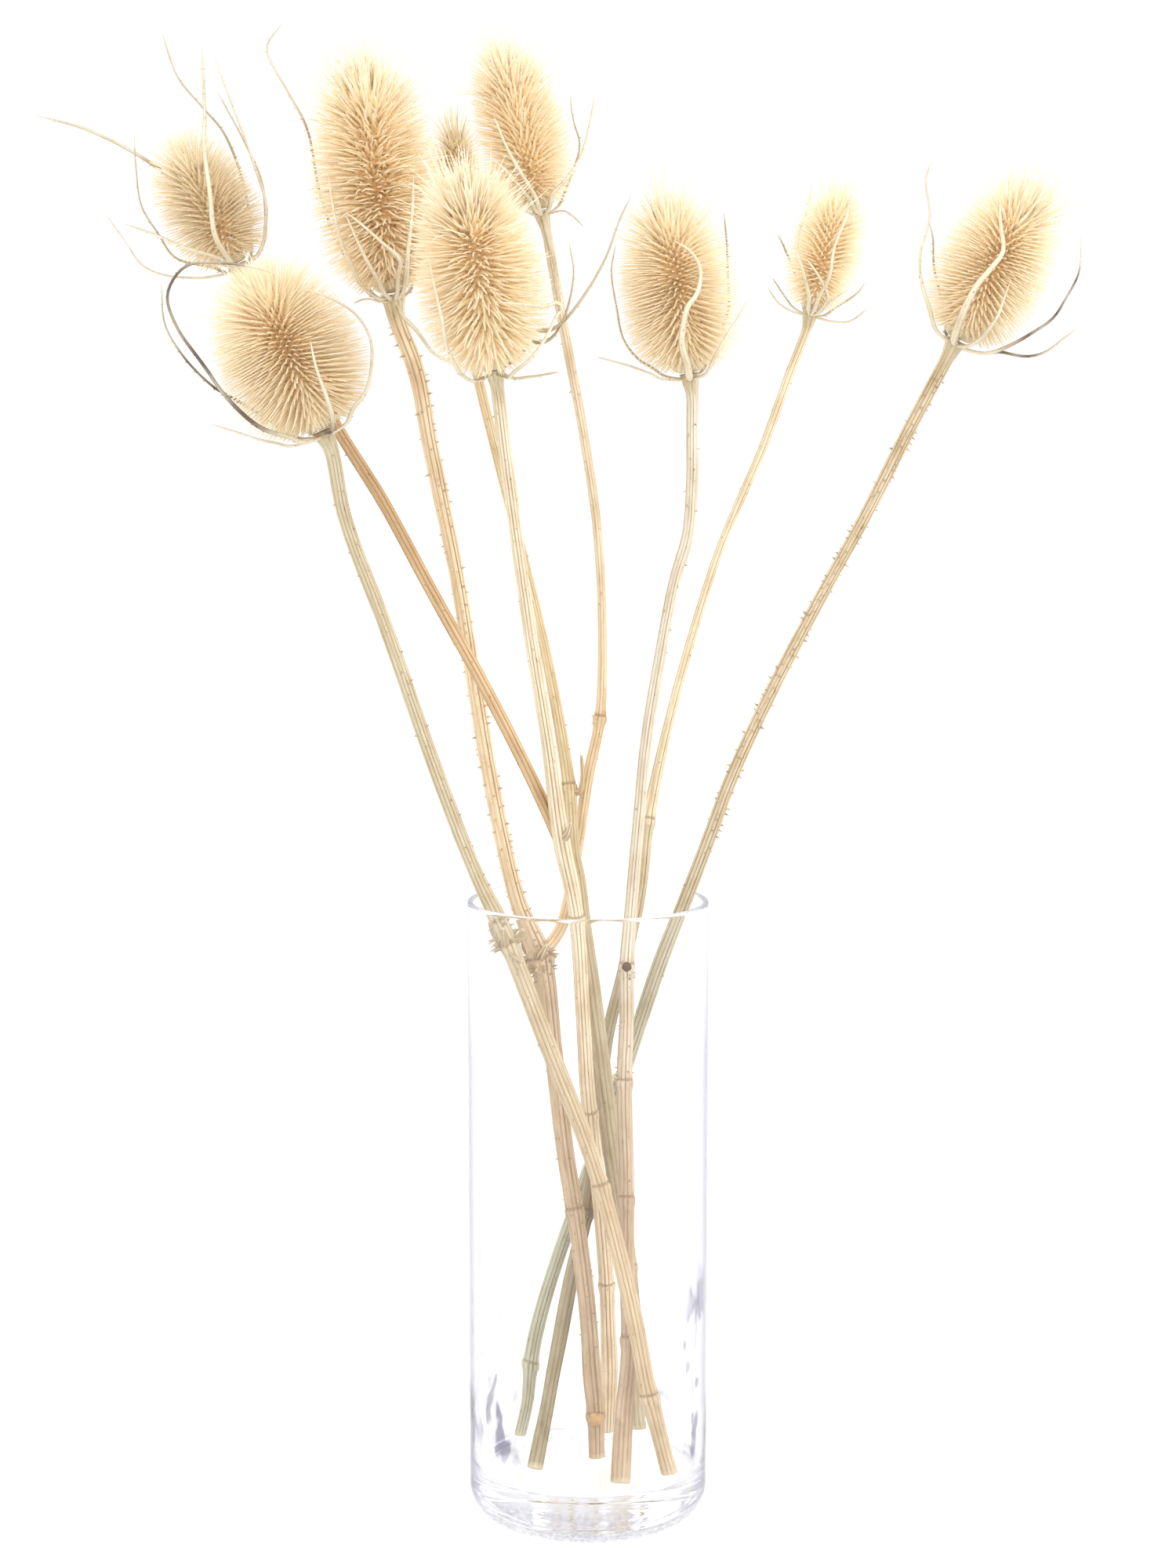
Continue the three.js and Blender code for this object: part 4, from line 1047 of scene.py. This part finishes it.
def add_course(skin, course, seed):
    look = course["look"]
    ribs = look["ribs"]
    rng = np.random.default_rng(seed)
    path, radii = course_path(course)
    heights = path[:, 2]
    along = np.linspace(0, 1, len(path))
    knot = np.zeros(len(path))
    for height, extra in course["knots"]:
        crease = np.exp(-((heights - height - CREASE_RISE) / CREASE_WIDTH) ** 2)
        radii = radii + extra * np.exp(-((heights - height) / (0.55 * KNOT_HALF_HEIGHT)) ** 2)
        radii = radii - CREASE_DEPTH * crease
        knot = np.maximum(knot, crease)
    turns = circle(STEM_SIDES)
    twist = (along * rng.uniform(-0.7, 0.7))[:, None]
    wave = np.cos(ribs * turns + twist)
    fine = np.cos((2 * ribs + 3) * turns - 1.7 * twist + 1.1)
    wobble = WOBBLE_DEPTH * np.sin(along * 46 + seed)[:, None]
    reach = radii[:, None] * (RIB_MIDDLE + RIB_DEPTH * wave + FINE_RIB_DEPTH * fine + wobble)
    base = mixed(look["low"], look["high"], eased(along, 0.25, 0.75))[:, None]
    groove = eased(-wave - 0.45 * fine, 0.50, 1.25)
    tints = mixed(np.broadcast_to(base, (*wave.shape, 3)), look["groove"], 0.9 * groove)
    tints = mixed(tints, KNOT_BROWN, 0.75 * knot[:, None] * (0.75 + 0.25 * wave))
    neck = eased(heights, heights[-1] - NECK_GREEN_LENGTH, heights[-1] - 0.004)
    tints = mixed(tints, NECK_GREEN, 0.75 * np.broadcast_to(neck[:, None], wave.shape))
    tints[0] = PITH
    sides, across = loft(skin, path, round_sections(reach, turns), (1.0, 0.2, 0.1), tints)
    for low, high, count, length in look["prickles"]:
        low, high, length = metres((low, high, length))
        inside = np.flatnonzero((heights > low) & (heights < high))
        for draw in range(count):
            place = inside[int(len(inside) * (draw + rng.random()) / count)]
            turn = (2 * math.pi * rng.integers(ribs) - twist[place, 0]) / ribs
            outward = math.cos(turn) * sides[place] + math.sin(turn) * across[place]
            root = path[place] + outward * radii[place] * 0.97
            lean = np.array([0, 0, rng.uniform(-1.0, 0.6)])
            size = length * rng.uniform(0.55, 1.1)
            colour = mixed(base[place, 0], look["groove"], rng.uniform(0, 0.6)) * rng.uniform(0.9, 1.1)
            add_prickle(skin, root, outward, lean, size, 0.00022 + 0.16 * size, np.minimum(colour, 0.95))


def add_stub(skin, points, look, end):
    """Short cut or torn piece that grew out of the stem."""
    path, radii = drawn_course(points, 6)
    turns = circle(STUB_SIDES)
    bark = np.cos(5 * turns)
    tints = np.repeat(mixed(look["groove"], look["high"], 0.5 + 0.5 * bark)[None], len(path), axis=0)
    tints[-1] = end
    loft(skin, path, round_sections(radii[:, None] * (1 + 0.08 * bark), turns), (0.3, 1.0, 0.2), tints)


def stem_piece(name, stem, materials, seed):
    skin = Skin()
    rng = np.random.default_rng(seed)
    for index, course in enumerate(stem["courses"]):
        add_course(skin, course, seed + 10 * index)
        head = HEADS[course["head"]]
        for number, drawn in enumerate(head["bracts"]):
            add_bract(skin, head, number, drawn, rng)
    for number, points in enumerate(stem["stubs"]):
        add_stub(skin, points, stem["courses"][0]["look"], STUB_ENDS.get((name, number), PITH))
    piece = skin.build("teasel_" + name, materials, True)
    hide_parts(name)
    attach(piece, "root")


# Stage


def floor_piece():
    mesh = bpy.data.meshes.new("floor")
    size = FLOOR_HALF_SIZE
    corners = [(x * size, y * size, -FLOOR_DROP) for x, y in ((-1, -1), (1, -1), (1, 1), (-1, 1))]
    mesh.from_pydata(corners, [], [(0, 1, 2, 3)])
    mesh.materials.append(floor_material())
    floor = placed("floor", mesh)


def add_camera():
    data = bpy.data.cameras.new("camera")
    data.sensor_fit = "VERTICAL"
    data.sensor_height = CAMERA_SENSOR
    data.lens = CAMERA_LENS
    data.clip_end = 50
    camera = placed("camera", data)
    camera.location = (0, -CAMERA_DISTANCE, CAMERA_HEIGHT)
    camera.rotation_euler = (math.pi / 2 - CAMERA_DIP, 0, 0)
    bpy.context.scene.camera = camera


def add_area_light(name, place, size, energy, colour):
    data = bpy.data.lights.new(name, "AREA")
    data.shape = "DISK"
    data.size = size
    data.energy = energy
    data.color = colour
    light = placed(name, data)
    light.location = place
    x, y, z = np.array(LIT_PLACE) - place
    light.rotation_euler = (math.atan2(np.hypot(x, y), -z), 0, math.atan2(-x, y))


def white_studio():
    """White all round. It lights the straw more strongly than it is seen."""
    world = bpy.data.worlds.new("white_studio")
    world.use_nodes = True
    tree = Wiring(world.node_tree)
    lighting = tree.add("ShaderNodeLightPath")["Is Diffuse Ray"]
    strength = tree.ramp(lighting, [(0.0, (SEEN_STRENGTH,) * 3), (1.0, (WORLD_STRENGTH,) * 3)])
    tree.feed(tree.nodes["Background"], {"Color": (*WHITE, 1.0), "Strength": strength})
    return world


def add_light():
    bpy.context.scene.world = white_studio()
    add_area_light("key", (1.1, -0.7, 1.5), 0.8, 9, (1.0, 0.98, 0.94))
    add_area_light("rim", (-0.9, 1.0, 1.2), 0.7, 5, WHITE)
    bpy.context.scene.view_settings.view_transform = "Standard"
    paths = bpy.context.scene.cycles
    paths.max_bounces = GLASS_BOUNCES
    paths.diffuse_bounces = STRAW_BOUNCES
    paths.transmission_bounces = GLASS_BOUNCES
    paths.glossy_bounces = GLASS_BOUNCES


add_camera()
add_light()
floor_piece()
vase_piece()
SPINES = [spine_material(), core_material()]
for number, (node, head) in enumerate(HEADS.items()):
    head_piece(node, head, SPINES, 100 + number)
STRAW = [
    straw_material("dry_stem", 1900.0, (0.84, 0.79, 0.71), 0.7),
    straw_material("dry_bract", 2200.0, (0.86, 0.85, 0.80), 0.75),
]
for number, (node, stem) in enumerate(STEMS.items()):
    stem_piece(node, stem, STRAW, 200 + number)
